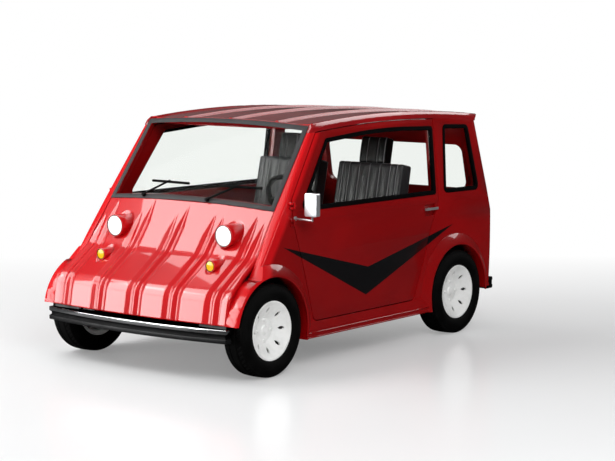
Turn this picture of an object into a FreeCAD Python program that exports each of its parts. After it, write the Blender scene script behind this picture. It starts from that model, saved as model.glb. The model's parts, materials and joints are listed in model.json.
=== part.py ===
import FreeCAD
import Part
import math
import os

Vector = FreeCAD.Vector

# Electric city car with two seats, one solid to each named piece.
# Millimetres. +Z is up, the car faces -Y and its left side is at +X.
# The origin is on the ground, in the middle plane, below the front axle.

# Wheels and axles. The slots' shape is given as shares of their half length and half width
WHEEL_BASE = 1575.0
TYRE_RADIUS = 228.0
TYRE_HALF_WIDTH = 70.0
WHEEL_X = 580.0
RIM_RADIUS = 145.0
RIM_HALF_WIDTH = 58.0
BEAD_RADIUS = 128.0
BEAD_CLEARANCE = 0.4
SLOT_COUNT = 8
SLOT_RADIUS = 99.0
SLOT_LENGTH = 34.0
SLOT_WIDTH = 15.0
SLOT_SHAPE = [(-1.0, 0.0), (-0.3, -1.0), (0.4, -1.0), (1.0, 0.0), (0.4, 1.0), (-0.3, 1.0)]
NUT_COUNT = 4
NUT_CIRCLE_RADIUS = 50.0
NUT_RADIUS = 8.0
KINGPIN_X = 540.0
KINGPIN_RADIUS = 8.0
KINGPIN_LOW = 160.0
KINGPIN_HIGH = 296.0
BOSS_RADIUS = 16.0
BOSS_HEIGHT = 14.0
ARM_RADIUS = 7.0
STRUT_X = 455.0
STRUT_RADIUS = 18.0
STRUT_TOP = 485.0
BEAM_BOTTOM = 165.0
BEAM_TOP = 205.0
BEAM_HALF_DEPTH = 25.0
CHASSIS_RAIL_TOP = 250.0
CHASSIS_RAIL_HALF = 20.0
AXLE_RADIUS = 28.0
TRAILING_ARM_X = 400.0
SPINDLE_RADIUS = 15.0
HUB_DEPTH = 80.0
BARREL_RADIUS = 13.0
RUNNING_CLEARANCE = 0.05
STEER_LIMIT = 28.0

# Roof height, which the glass, the doors and the tailgate follow
ROOF_PEAK_Z = 1223.0
ABOVE_ROOF = ROOF_PEAK_Z + 77.0

# Ends of what is swept along the car, and sides of what is cut through its walls
SWEEP_FRONT = -400.0
SWEEP_REAR = 2100.0
THROUGH_NEAR = 450.0
THROUGH_FAR = 750.0

# Side walls
PILLAR_ROUND = 14.0
CORNER_ROUND = 15.0
SILL_BOTTOM = 150.0
SILL_X = 640.0
SILL_TOP = 186.0
DOOR_BOTTOM = 226.0
BODY_X = 622.0
WAIST_Z = 772.0
WAIST_X = 602.0
TUMBLE_X = 547.5
WALL = 48.0
SHUT_GAP = 5.0
SEAL_WIDTH = 22.0
SEAL_PROUD = 2.0
SEAL_DEPTH = 14.0
GLASS = 5.0
GLASS_DEPTH = 5.0

# Wheel arches
ARCH_GAP = 34.0
ARCH_RADIUS = TYRE_RADIUS + ARCH_GAP
FENDER_RADIUS = ARCH_RADIUS + 14.0
FENDER_BOTTOM = 279.0
HOUSE_SHEET = 4.0
FRONT_HOUSE_X = 400.0
REAR_HOUSE_X = 490.0

# Roof
ROOF_RADIUS = 7550.0
ROOF_PEAK_Y = 1080.0
ROOF_DROP = 40.0
ROOF_REAR = 1876.0
ROOF_LIP_HOLLOW = 30.0
RAIL_WIDTH = 30.0
RIB_X = 305.0
RIB_SETBACK = 57.0
RIB_HALF_WIDTH = 13.0
RIB_HEIGHT = 8.0

# Front panel and windscreen
BOW_RADIUS = 5078.0
BOW_ANGLE = 8.0
SCREEN_BOTTOM_Y = 93.4
SCREEN_BOTTOM_Z = 785.0
SCREEN_SLOPE = 0.728
NOSE_BREAK = (-62.0, 571.0)
NOSE_CORNER = (-276.5, 421.0)
NOSE_TIP = (-303.0, 279.0)
NOSE_HALF_WIDTH = 580.0
NOSE_SHEET = 12.0
SCREEN_FRAME_DEPTH = 24.0
SCREEN_SEAL_WIDTH = 28.0
SCREEN_SEAL_PROUD = 4.0
SCREEN_HALF_BOTTOM = 552.0
SCREEN_HALF_TOP = 538.0
SCREEN_TOP_Z = ROOF_PEAK_Z - 39.0
SCREEN_ARCH = 20.0
LAYER_LOW = SCREEN_BOTTOM_Z - 55.0

# Flutes pressed into the front panel, two grooves each: centre x and height of the tips
FLUTES = [(-500.0, 745.0), (-246.0, 765.0), (0.0, 760.0), (246.0, 760.0), (500.0, 750.0)]
FLUTE_PITCH = 52.0
FLUTE_WIDTH = 22.0
FLUTE_DEPTH = 6.0

# Rear
REAR_TOP = (1843.0, ROOF_PEAK_Z - 81.0)
REAR_CREASE = (1945.5, 645.0)
REAR_FOOT = (1919.0, 272.0)
REAR_BOTTOM = (1912.0, 222.0)
REAR_PANEL_TOP = 475.0
REAR_PANEL_INNER_Y = 1885.0
TAILGATE_THICKNESS = 40.0
TAILGATE_HINGE_X = 300.0
TAILGATE_HINGE_Y = 1856.0
TAILGATE_KNUCKLE = 20.0
TAILGATE_HINGE_Z = ROOF_PEAK_Z - 83.0
TAILGATE_TOP = TAILGATE_HINGE_Z - 8.0

# Floor
FLOOR_Z = 158.0
FLOOR_SHEET = 8.0
BULKHEAD_Y = 112.0
BULKHEAD_TOP = 640.0
RISER_Y = 1300.0
BASE_REAR = RISER_Y - 50.0
LOAD_FLOOR_Z = 424.0

# Bumpers
BUMPER_BOTTOM = 198.0
BUMPER_TOP = 263.0
BUMPER_HALF_WIDTH = 590.0
BUMPER_END_Y = -284.0
BUMPER_MIDDLE_Y = -340.0
BUMPER_WALL = 14.0
BUMPER_RETURN = 36.0
STRIP_HEIGHT = 21.0
STRIP_PROUD = 5.0
RAIL_X = 300.0
REAR_BUMPER_FRONT = 1925.0
REAR_BUMPER_BACK = 1983.0

# Lamps
HEADLAMP = (366.0, -35.0, 668.0)
HEADLAMP_RADIUS = 52.0
INDICATOR = (368.0, -136.0, 533.0)
INDICATOR_RADIUS = 26.0
LENS_THICKNESS = 6.0
LAMP_RIM = 3.0

# Doors
HINGE_X = 614.0
HINGE_Y = 199.5
HINGE_RADIUS = 6.0
HINGE_PIN = 3.0
HINGE_SPANS = [(712.0, 745.0), (795.0, 828.0)]
DOOR_REAR = 1440.0
DOOR_OPENING = [
    (197.0, 838.0, 40.0),
    (197.0, 742.0, 150.0),
    (337.0, DOOR_BOTTOM, 45.0),
    (1189.0, DOOR_BOTTOM, 50.0),
    (DOOR_REAR - 95.0, 572.0, 120.0),
    (DOOR_REAR, 735.0, 80.0),
    (DOOR_REAR, ABOVE_ROOF, 0.0),
    (197.0 + SCREEN_SLOPE * (ABOVE_ROOF - 838.0), ABOVE_ROOF, 0.0),
]
DOOR_WINDOW = [
    (254.0, 776.0, 30.0),
    (DOOR_REAR - 22.0, 770.0, 20.0),
    (DOOR_REAR - 11.0, ROOF_PEAK_Z - 89.0, 20.0),
    (968.0, ROOF_PEAK_Z - 71.0, 4500.0),
    (255.0 + SCREEN_SLOPE * (ROOF_PEAK_Z - 879.0), ROOF_PEAK_Z - 103.0, 25.0),
]
QUARTER_WINDOW = [
    (1491.0, 771.0, 30.0),
    (1832.0, 765.0, 35.0),
    (1765.0, ROOF_PEAK_Z - 96.0, 35.0),
    (1525.0, ROOF_PEAK_Z - 84.0, 30.0),
]
TAILGATE_WINDOW = [
    (-488.0, 757.0, 45.0),
    (488.0, 757.0, 45.0),
    (480.0, ROOF_PEAK_Z - 218.0, 45.0),
    (-480.0, ROOF_PEAK_Z - 218.0, 45.0),
]
HANDLE_Y = DOOR_REAR - 85.0
HANDLE_Z = 698.0
HANDLE_LENGTH = 112.0

# Door mirror
MIRROR_BASE = (604.0, 218.0, 747.0)
MIRROR_ELBOW = (711.0, 218.0, 744.0)
MIRROR_WIDTH = 72.0
MIRROR_HEIGHT = 112.0
MIRROR_DEPTH = 30.0
MIRROR_BOTTOM = 764.0

# Seats
SEAT_X = 282.0
CUSHION_WIDTH = 440.0
CUSHION_LENGTH = 435.0
CUSHION_REAR = BASE_REAR - 25.0
CUSHION_FRONT = CUSHION_REAR - CUSHION_LENGTH
CUSHION_BOTTOM = 290.0
CUSHION_TOP = 410.0
BACK_FOOT_Y = BASE_REAR - 105.0
BACK_TOP_Z = ROOF_PEAK_Z - 292.0
BACK_THICKNESS = 90.0
BACK_LEAN = 12.0
HEADREST_WIDTH = 175.0
HEADREST_HEIGHT = 125.0
HEADREST_THICKNESS = 70.0

# Box under the seats, battery and motor
BASE_HALF_WIDTH = 505.0
BASE_FRONT = BASE_REAR - 400.0
BASE_SHEET = 6.0
BATTERY_HALF_WIDTH = 450.0
MOTOR_HALF_WIDTH = 130.0
MOTOR_LENGTH = 200.0

# Steering wheel
WHEEL_HUB = (285.0, 598.0, 779.0)
STEERING_RADIUS = 165.0
STEERING_RIM = 12.0
STEERING_TILT = 30.7

PARTS = "parts"


def unit(a, b):
    length = math.hypot(a, b)
    return a / length, b / length


def place(plane, a, b, along=0.0):
    """A point from its two coordinates in a plane and its place along the normal."""
    if plane == "yz":
        return Vector(along, a, b)
    if plane == "xz":
        return Vector(a, along, b)
    return Vector(a, b, along)


def outline(plane, corners, along=0.0):
    """Closed wire through corners (a, b, radius), each corner rounded by its radius."""
    count = len(corners)
    rounds = []
    for index in range(count):
        a, b, radius = corners[index]
        before = corners[index - 1]
        after = corners[(index + 1) % count]
        if radius == 0.0:
            rounds.append(((a, b), None, (a, b)))
            continue
        to_before = unit(before[0] - a, before[1] - b)
        to_after = unit(after[0] - a, after[1] - b)
        cosine = to_before[0] * to_after[0] + to_before[1] * to_after[1]
        half = 0.5 * math.acos(max(-1.0, min(1.0, cosine)))
        reach = radius / math.tan(half)
        inward = unit(to_before[0] + to_after[0], to_before[1] + to_after[1])
        depth = radius / math.sin(half) - radius
        rounds.append((
            (a + to_before[0] * reach, b + to_before[1] * reach),
            (a + inward[0] * depth, b + inward[1] * depth),
            (a + to_after[0] * reach, b + to_after[1] * reach),
        ))
    edges = []
    for index in range(count):
        start, middle, end = rounds[index]
        if middle is not None:
            arc = Part.Arc(place(plane, *start, along), place(plane, *middle, along),
                           place(plane, *end, along))
            edges.append(arc.toShape())
        following = rounds[(index + 1) % count][0]
        if math.hypot(following[0] - end[0], following[1] - end[1]) > 0.001:
            edges.append(Part.makeLine(place(plane, *end, along), place(plane, *following, along)))
    return Part.Wire(edges)


def inset(corners, distance):
    """The same corners moved inwards by a distance, for an outline given either way round."""
    count = len(corners)
    area = sum(corners[i - 1][0] * corners[i][1] - corners[i][0] * corners[i - 1][1]
               for i in range(count))
    side = distance if area > 0.0 else -distance
    moved = []
    for index in range(count):
        a, b, radius = corners[index]
        before = unit(a - corners[index - 1][0], b - corners[index - 1][1])
        after = unit(corners[(index + 1) % count][0] - a, corners[(index + 1) % count][1] - b)
        normal_before = (-before[1], before[0])
        normal_after = (-after[1], after[0])
        share = side / (1.0 + normal_before[0] * normal_after[0] + normal_before[1] * normal_after[1])
        moved.append((a + (normal_before[0] + normal_after[0]) * share,
                      b + (normal_before[1] + normal_after[1]) * share,
                      max(radius - distance, 0.25 * radius)))
    return moved


def normal_of(plane):
    return {"yz": Vector(1, 0, 0), "xz": Vector(0, 1, 0), "xy": Vector(0, 0, 1)}[plane]


def prism(plane, corners, low, high):
    face = Part.Face(outline(plane, corners, low))
    return face.extrude(normal_of(plane) * (high - low))


def box(x0, x1, y0, y1, z0, z1):
    return Part.makeBox(x1 - x0, y1 - y0, z1 - z0, Vector(x0, y0, z0))


def rod(start, end, radius):
    start = Vector(*start)
    end = Vector(*end)
    return Part.makeCylinder(radius, (end - start).Length, start, end - start)


def mirrored(shape):
    return shape.mirror(Vector(0, 0, 0), Vector(1, 0, 0))


def both_sides(shape):
    return Part.makeCompound([shape, mirrored(shape)])


def fused(shapes):
    return shapes[0].multiFuse(shapes[1:]).removeSplitter()


def save(name, shape):
    """Write one node with all its solids."""
    solids = shape.Solids
    node = solids[0] if len(solids) == 1 else Part.makeCompound(solids)
    assert node.isValid(), name
    node.exportStep(os.path.join(PARTS, name + ".step"))
    print(name, len(solids), "solids", round(sum(s.Volume for s in solids) / 1e6, 3), "litres")


# Side wall surface

def side_edges(depth, sill):
    """Section of the side wall at a depth below its skin, from the sill up."""
    foot_x = SILL_X if sill else BODY_X - depth
    points = [(foot_x, SILL_BOTTOM), (foot_x, SILL_TOP), (BODY_X - depth, DOOR_BOTTOM)]
    if not sill:
        points = [(BODY_X - depth, SILL_BOTTOM), (BODY_X - depth, DOOR_BOTTOM)]
    points.append((BODY_X - depth, 300.0))
    edges = [Part.makeLine(place("xz", *points[i]), place("xz", *points[i + 1]))
             for i in range(len(points) - 1)]
    middle = (0.5 * (BODY_X + WAIST_X) + 5.0 - depth, 0.5 * (300.0 + WAIST_Z))
    curve = Part.Arc(place("xz", *points[-1]), place("xz", *middle),
                     place("xz", WAIST_X - depth, WAIST_Z))
    edges.append(curve.toShape())
    edges.append(Part.makeLine(place("xz", WAIST_X - depth, WAIST_Z),
                               place("xz", TUMBLE_X - depth, ABOVE_ROOF)))
    return edges


def side_layer(near, far, sill=False):
    """Slab of the side wall between two depths, along the whole car."""
    outer = side_edges(near, sill)
    inner = side_edges(far, False)
    first_outer = outer[0].Vertexes[0].Point
    first_inner = inner[0].Vertexes[0].Point
    last_outer = place("xz", TUMBLE_X - near, ABOVE_ROOF)
    last_inner = place("xz", TUMBLE_X - far, ABOVE_ROOF)
    joins = [Part.makeLine(last_outer, last_inner), Part.makeLine(first_inner, first_outer)]
    wire = Part.Wire(Part.__sortEdges__(outer + joins + inner))
    slab = Part.Face(wire).extrude(Vector(0, SWEEP_REAR - SWEEP_FRONT, 0))
    slab.translate(Vector(0, SWEEP_FRONT, 0))
    return slab


def inner_space(gap=0.0):
    """The whole room between the two side walls."""
    depth = WALL + gap
    right = side_edges(depth, False)
    left = [mirrored(edge) for edge in side_edges(depth, False)]
    top = Part.makeLine(place("xz", TUMBLE_X - depth, ABOVE_ROOF), place("xz", depth - TUMBLE_X, ABOVE_ROOF))
    bottom = Part.makeLine(place("xz", BODY_X - depth, SILL_BOTTOM),
                           place("xz", depth - BODY_X, SILL_BOTTOM))
    wire = Part.Wire(Part.__sortEdges__(right + [top] + left + [bottom]))
    room = Part.Face(wire).extrude(Vector(0, SWEEP_REAR - SWEEP_FRONT, 0))
    room.translate(Vector(0, SWEEP_FRONT, 0))
    return room


def side_x(z):
    """Skin of the side wall at a height above the waist's curve."""
    if z >= WAIST_Z:
        return WAIST_X - (WAIST_X - TUMBLE_X) * (z - WAIST_Z) / (ABOVE_ROOF - WAIST_Z)
    share = max(0.0, (z - 300.0) / (WAIST_Z - 300.0))
    return BODY_X - (BODY_X - WAIST_X) * share + 20.0 * share * (1.0 - share)


def roof_z(y, drop):
    radius = ROOF_RADIUS - drop
    return ROOF_PEAK_Z - ROOF_RADIUS + math.sqrt(radius ** 2 - (y - ROOF_PEAK_Y) ** 2)


# Front surface, one profile turned about an upright axis far behind the car

def front_y(z):
    return SCREEN_BOTTOM_Y - SCREEN_SLOPE * (SCREEN_BOTTOM_Z - z)


def bow_y(x):
    return BOW_RADIUS - math.sqrt(BOW_RADIUS ** 2 - x ** 2)


def bowed(corners):
    """Solid from a closed profile in the centre plane, bowed across the car."""
    axis = Vector(0, SCREEN_BOTTOM_Y + BOW_RADIUS, 0)
    face = Part.Face(outline("yz", corners))
    face.rotate(axis, Vector(0, 0, 1), -BOW_ANGLE)
    return face.revolve(axis, Vector(0, 0, 1), 2.0 * BOW_ANGLE)


def screen_layer(near, far, z0, z1):
    """Bowed sheet along the windscreen's slope, between two depths below its surface."""
    slant = math.hypot(1.0, SCREEN_SLOPE)
    step_y = 1.0 / slant
    step_z = -SCREEN_SLOPE / slant
    return bowed([
        (front_y(z0) + near * step_y, z0 + near * step_z, 0.0),
        (front_y(z1) + near * step_y, z1 + near * step_z, 0.0),
        (front_y(z1) + far * step_y, z1 + far * step_z, 0.0),
        (front_y(z0) + far * step_y, z0 + far * step_z, 0.0),
    ])


def front_cutter():
    return bowed([
        (front_y(480.0), 480.0, 0.0),
        (front_y(ABOVE_ROOF + 30.0), ABOVE_ROOF + 30.0, 0.0),
        (-500.0, ABOVE_ROOF + 30.0, 0.0),
        (-500.0, 480.0, 0.0),
    ])


def screen_prism(edge, low=-400.0, high=800.0):
    """Straight-through outline of the windscreen, smaller by an edge, with arched top and bottom."""
    bottom = SCREEN_BOTTOM_Z + edge * 0.8
    top = SCREEN_TOP_Z - edge * 0.8
    half_bottom = SCREEN_HALF_BOTTOM - edge
    half_top = SCREEN_HALF_TOP - edge
    corners = [(-half_bottom, bottom), (half_bottom, bottom), (half_top, top), (-half_top, top)]
    lower = Part.Arc(place("xz", *corners[0], low), place("xz", 0, bottom + SCREEN_ARCH, low),
                     place("xz", *corners[1], low)).toShape()
    upper = Part.Arc(place("xz", *corners[2], low), place("xz", 0, top + SCREEN_ARCH, low),
                     place("xz", *corners[3], low)).toShape()
    right = Part.makeLine(place("xz", *corners[1], low), place("xz", *corners[2], low))
    left = Part.makeLine(place("xz", *corners[3], low), place("xz", *corners[0], low))
    return Part.Face(Part.Wire([lower, right, upper, left])).extrude(Vector(0, high - low, 0))


# Body pieces

def arch_cylinder(axle_y, radius, x0, x1):
    return Part.makeCylinder(radius, x1 - x0, Vector(x0, axle_y, TYRE_RADIUS), Vector(1, 0, 0))


def arch_flare(axle_y):
    """Raised lip round a wheel arch, turned about the axle."""
    section = [
        (ARCH_RADIUS - 2.0, BODY_X - 30.0), (ARCH_RADIUS - 2.0, SILL_X + 10.0),
        (ARCH_RADIUS + 6.0, SILL_X + 11.0), (ARCH_RADIUS + 28.0, SILL_X - 2.0),
        (ARCH_RADIUS + 56.0, BODY_X - 1.0), (ARCH_RADIUS + 56.0, BODY_X - 30.0),
    ]
    points = [Vector(x, axle_y, TYRE_RADIUS + r) for r, x in section]
    face = Part.Face(Part.makePolygon(points + points[:1]))
    return face.revolve(Vector(0, axle_y, TYRE_RADIUS), Vector(1, 0, 0), 360)


def side_outline():
    """Outer outline of the side wall, seen from the side, without the door opening."""
    drop = ROOF_DROP
    drop_end = FENDER_BOTTOM - TYRE_RADIUS
    start = (-math.sqrt(FENDER_RADIUS ** 2 - drop_end ** 2), FENDER_BOTTOM)
    high = math.radians(108.0)
    middle = math.radians(135.0)
    crown = (FENDER_RADIUS * math.cos(high), TYRE_RADIUS + FENDER_RADIUS * math.sin(high))
    between = (FENDER_RADIUS * math.cos(middle), TYRE_RADIUS + FENDER_RADIUS * math.sin(middle))
    edge_y = front_y(ROOF_PEAK_Z - drop) - 11.0
    top_front = (edge_y, roof_z(edge_y, drop))
    top_rear = (REAR_TOP[0], roof_z(REAR_TOP[0], drop))
    straight = [
        top_rear, REAR_CREASE, REAR_FOOT, REAR_BOTTOM, (1790.0, REAR_BOTTOM[1]),
        (1790.0, SILL_BOTTOM), (200.0, SILL_BOTTOM), (-200.0, FENDER_BOTTOM), start,
    ]
    edges = [
        Part.Arc(place("yz", *start), place("yz", *between), place("yz", *crown)).toShape(),
        Part.makeLine(place("yz", *crown), place("yz", *top_front)),
        Part.Arc(place("yz", *top_front), place("yz", ROOF_PEAK_Y, roof_z(ROOF_PEAK_Y, drop)),
                 place("yz", *top_rear)).toShape(),
    ]
    edges += [Part.makeLine(place("yz", *straight[i]), place("yz", *straight[i + 1]))
              for i in range(len(straight) - 1)]
    return Part.Wire(edges)


def door_prism(gap):
    """Outline of the door or of its opening, extended through the wall."""
    return prism("yz", inset(DOOR_OPENING, gap), 300.0, 800.0)


def below_roof(gap):
    """Everything below the roof's side rail."""
    y0, y1 = SWEEP_FRONT, SWEEP_REAR
    drop = ROOF_DROP + gap
    arc = Part.Arc(place("yz", y0, roof_z(y0, drop), -800), place("yz", ROOF_PEAK_Y, roof_z(ROOF_PEAK_Y, drop), -800),
                   place("yz", y1, roof_z(y1, drop), -800)).toShape()
    points = [(y1, roof_z(y1, drop)), (y1, 0.0), (y0, 0.0), (y0, roof_z(y0, drop))]
    lines = [Part.makeLine(place("yz", *points[i], -800), place("yz", *points[i + 1], -800)) for i in range(3)]
    return Part.Face(Part.Wire([arc] + lines)).extrude(Vector(1600, 0, 0))


def hinge_ears(door):
    """Knuckles and leaves of the two door hinges, those of the door or those of the wall."""
    pieces = []
    for low, high in HINGE_SPANS:
        third = (high - low) / 3.0
        spans = [(low + third + 0.4, high - third - 0.4)]
        if not door:
            spans = [(low, low + third), (high - third, high)]
        for z0, z1 in spans:
            knuckle = Part.makeCylinder(HINGE_RADIUS, z1 - z0, Vector(HINGE_X, HINGE_Y, z0))
            inner = side_x(high) - 6.0
            if door:
                leaf = box(inner, HINGE_X - 1.0, HINGE_Y + 5.0, HINGE_Y + 24.0, z0, z1)
                web = box(HINGE_X - 5.0, HINGE_X - 1.0, HINGE_Y, HINGE_Y + 6.0, z0, z1)
                bore = Part.makeCylinder(HINGE_PIN + RUNNING_CLEARANCE, z1 - z0, Vector(HINGE_X, HINGE_Y, z0))
                pieces.append(fused([knuckle, leaf, web]).cut(bore))
            else:
                leaf = box(inner, HINGE_X - 1.0, HINGE_Y - 24.0, HINGE_Y - 5.0, z0, z1)
                web = box(HINGE_X - 5.0, HINGE_X - 1.0, HINGE_Y - 6.0, HINGE_Y, z0, z1)
                pieces.append(fused([knuckle, leaf, web]))
        if not door:
            pieces.append(Part.makeCylinder(HINGE_PIN, high - low, Vector(HINGE_X, HINGE_Y, low)))
    return pieces


def on_skin(edge, slack):
    middle = edge.CenterOfMass
    return edge.BoundBox.ZLength > 15.0 and abs(middle.x - side_x(middle.z)) < slack


def is_rear_corner(edge):
    middle = edge.CenterOfMass
    return on_skin(edge, 14.0) and edge.BoundBox.YMin > REAR_TOP[0] - 3.0 and middle.y > rear_y(middle.z) - 6.0


def is_front_corner(edge):
    middle = edge.CenterOfMass
    return on_skin(edge, 3.0) and edge.BoundBox.YMax < front_y(ABOVE_ROOF) and middle.y < front_y(middle.z) + 60.0 \
        and middle.z > NOSE_CORNER[1] + 80.0


def body_side():
    slab = side_layer(0.0, WALL, sill=True)
    wall = fused([slab, arch_flare(0.0), arch_flare(WHEEL_BASE)])
    profile = Part.Face(side_outline()).extrude(Vector(300, 0, 0))
    profile.translate(Vector(450, 0, 0))
    wall = wall.common(profile)
    cutters = [
        front_cutter(),
        arch_cylinder(0.0, ARCH_RADIUS, 500.0, 700.0),
        arch_cylinder(WHEEL_BASE, ARCH_RADIUS, 500.0, 700.0),
        door_prism(0.0),
        prism("yz", QUARTER_WINDOW, THROUGH_NEAR, THROUGH_FAR),
        screen_pocket(),
        nose_panel(),
    ]
    for cutter in cutters:
        wall = wall.cut(cutter)
    # The front panel leaves a loose sliver inside the fender, which goes
    wall = max(wall.Solids, key=lambda solid: solid.Volume)
    wall = wall.makeFillet(CORNER_ROUND, [edge for edge in wall.Edges if is_rear_corner(edge)])
    wall = wall.makeFillet(PILLAR_ROUND, [edge for edge in wall.Edges if is_front_corner(edge)])
    return fused([wall] + hinge_ears(door=False))


def door():
    slab = side_layer(0.0, WALL).common(door_prism(SHUT_GAP)).common(below_roof(SHUT_GAP))
    slab = slab.cut(prism("yz", DOOR_WINDOW, THROUGH_NEAR, THROUGH_FAR))
    recess = box(side_x(HANDLE_Z) - 12.0, side_x(HANDLE_Z) + 20.0, HANDLE_Y - 46.0, HANDLE_Y + 46.0,
                 HANDLE_Z - 36.0, HANDLE_Z + 24.0)
    return fused([slab.cut(recess)] + hinge_ears(door=True))


def side_window(corners):
    """Seal and glass of one side window."""
    hole = prism("yz", inset(corners, SEAL_WIDTH), THROUGH_NEAR, THROUGH_FAR)
    seal = side_layer(-SEAL_PROUD, SEAL_DEPTH).common(prism("yz", corners, THROUGH_NEAR, THROUGH_FAR)).cut(hole)
    glass = side_layer(GLASS_DEPTH, GLASS_DEPTH + GLASS).common(hole)
    return seal, glass


def handle():
    skin = side_x(HANDLE_Z)
    half = 0.5 * HANDLE_LENGTH
    bar = box(skin + 6.0, skin + 16.0, HANDLE_Y - half, HANDLE_Y + half, HANDLE_Z - 6.0, HANDLE_Z + 6.0)
    posts = [rod((skin - 12.0, HANDLE_Y, HANDLE_Z), (skin + 8.0, HANDLE_Y, HANDLE_Z), 5.0)]
    return fused([bar] + posts)


def mirror_arm():
    base = Part.makeCylinder(11.0, 14.0, Vector(MIRROR_BASE[0] - 10.0, MIRROR_BASE[1], MIRROR_BASE[2]), Vector(1, 0, 0))
    arm = rod(MIRROR_BASE, MIRROR_ELBOW, 4.5)
    stem = rod((MIRROR_ELBOW[0], MIRROR_ELBOW[1], MIRROR_ELBOW[2] - 4.5),
               (MIRROR_ELBOW[0], MIRROR_ELBOW[1], MIRROR_BOTTOM + 4.0), 4.5)
    x, y = MIRROR_ELBOW[:2]
    half = 0.5 * MIRROR_WIDTH
    shell = prism("xz", [(x - half, MIRROR_BOTTOM, 9.0), (x + half, MIRROR_BOTTOM, 9.0),
                         (x + half, MIRROR_BOTTOM + MIRROR_HEIGHT, 9.0),
                         (x - half, MIRROR_BOTTOM + MIRROR_HEIGHT, 9.0)],
                  y - 0.5 * MIRROR_DEPTH, y + 0.5 * MIRROR_DEPTH)
    return fused([base, arm, stem, shell]).cut(side_layer(0.0, WALL))


def roof():
    """Crowned roof with raised side rails and three ribs, turned about an axis across the car."""
    drip = ROOF_PEAK_Z - ROOF_DROP
    rail = side_x(drip) - 18.0
    right = [
        (rail + 20.0, drip, 0.0), (rail + 19.0, ROOF_PEAK_Z - 18.0, 12.0),
        (rail, ROOF_PEAK_Z + 1.5, 14.0), (rail - RAIL_WIDTH, ROOF_PEAK_Z - 9.0, 30.0),
        (260.0, ROOF_PEAK_Z - 3.0, 900.0),
    ]
    left = [(-x, z, r) for x, z, r in reversed(right)]
    inner_x = side_x(drip) - WALL
    under = [(-inner_x, drip, 0.0), (-inner_x + 4.0, drip + 10.0, 0.0),
             (inner_x - 4.0, drip + 10.0, 0.0), (inner_x, drip, 0.0)]
    section = right + [(0.0, ROOF_PEAK_Z, 900.0)] + left + under
    edge_y = front_y(drip)
    pieces = [lengthwise("xz", section, edge_y - 53.0, ROOF_REAR)]
    for x in (-RIB_X, 0.0, RIB_X):
        base = ROOF_PEAK_Z - 8.0
        top = ROOF_PEAK_Z - 0.012 * abs(x) + RIB_HEIGHT
        rib = [(x - RIB_HALF_WIDTH, base, 0.0), (x + RIB_HALF_WIDTH, base, 0.0),
               (x + RIB_HALF_WIDTH - 5.0, top, 5.0), (x - RIB_HALF_WIDTH + 5.0, top, 5.0)]
        pieces.append(lengthwise("xz", rib, edge_y + RIB_SETBACK, ROOF_REAR - 6.0))
    header = screen_layer(-100.0, SCREEN_FRAME_DEPTH, SCREEN_TOP_Z - 184.0, ABOVE_ROOF + 100.0)
    header = header.common(box(-SCREEN_HALF_TOP, SCREEN_HALF_TOP, 0.0, 900.0, SCREEN_TOP_Z - 84.0, ABOVE_ROOF))
    lip = Part.makeCylinder(ROOF_LIP_HOLLOW, 1400.0, Vector(-700.0, ROOF_REAR, REAR_TOP[1]), Vector(1, 0, 0))
    return fused(pieces).cut(front_cutter()).cut(header).cut(screen_pocket()).cut(lip)


def lengthwise(plane, section, y0, y1):
    """Turn a cross-section about the roof's far axis, from one place along the car to another."""
    axis = Vector(0, ROOF_PEAK_Y, ROOF_PEAK_Z - ROOF_RADIUS)
    face = Part.Face(outline(plane, section, ROOF_PEAK_Y))
    start = -math.degrees(math.asin((y0 - ROOF_PEAK_Y) / ROOF_RADIUS))
    end = -math.degrees(math.asin((y1 - ROOF_PEAK_Y) / ROOF_RADIUS))
    face.rotate(axis, Vector(1, 0, 0), start)
    return face.revolve(axis, Vector(1, 0, 0), end - start)


def nose_corners():
    upper = (front_y(SCREEN_BOTTOM_Z + 40.0), SCREEN_BOTTOM_Z + 40.0, 0.0)
    return [upper, (*NOSE_BREAK, 140.0), (*NOSE_CORNER, 110.0), (*NOSE_TIP, 0.0)]


def shifted(corners, y, z, radius_change=0.0):
    return [(a + y, b + z, max(0.0, r + radius_change) if r else 0.0) for a, b, r in corners]


def nose_outline(low, high):
    """Front view of the fluted panel: straight sides and an arched top under the windscreen seal."""
    inner_high = side_x(SCREEN_BOTTOM_Z) - WALL
    inner_low = side_x(520.0) - WALL
    right = [(NOSE_HALF_WIDTH, NOSE_TIP[1] - 10.0), (NOSE_HALF_WIDTH, 440.0),
             (inner_low, 505.0), (inner_high, SCREEN_BOTTOM_Z)]
    edges = [Part.makeLine(place("xz", *right[i], low), place("xz", *right[i + 1], low)) for i in range(3)]
    edges += [mirrored(edge) for edge in edges]
    edges.append(Part.Arc(place("xz", inner_high, SCREEN_BOTTOM_Z, low),
                          place("xz", 0.0, SCREEN_BOTTOM_Z + SCREEN_ARCH, low),
                          place("xz", -inner_high, SCREEN_BOTTOM_Z, low)).toShape())
    edges.append(Part.makeLine(place("xz", right[0][0], right[0][1], low),
                               place("xz", -right[0][0], right[0][1], low)))
    wire = Part.Wire(Part.__sortEdges__(edges))
    return Part.Face(wire).extrude(Vector(0, high - low, 0))


def behind_nose():
    """Everything behind the front panel's surface."""
    return bowed(nose_corners() + [(300.0, NOSE_TIP[1], 0.0), (300.0, SCREEN_BOTTOM_Z + 40.0, 0.0)])


def sunk(corners, depth):
    """The front panel's profile moved inwards by a depth."""
    return shifted(corners, 0.82 * depth, -0.6 * depth)


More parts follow.
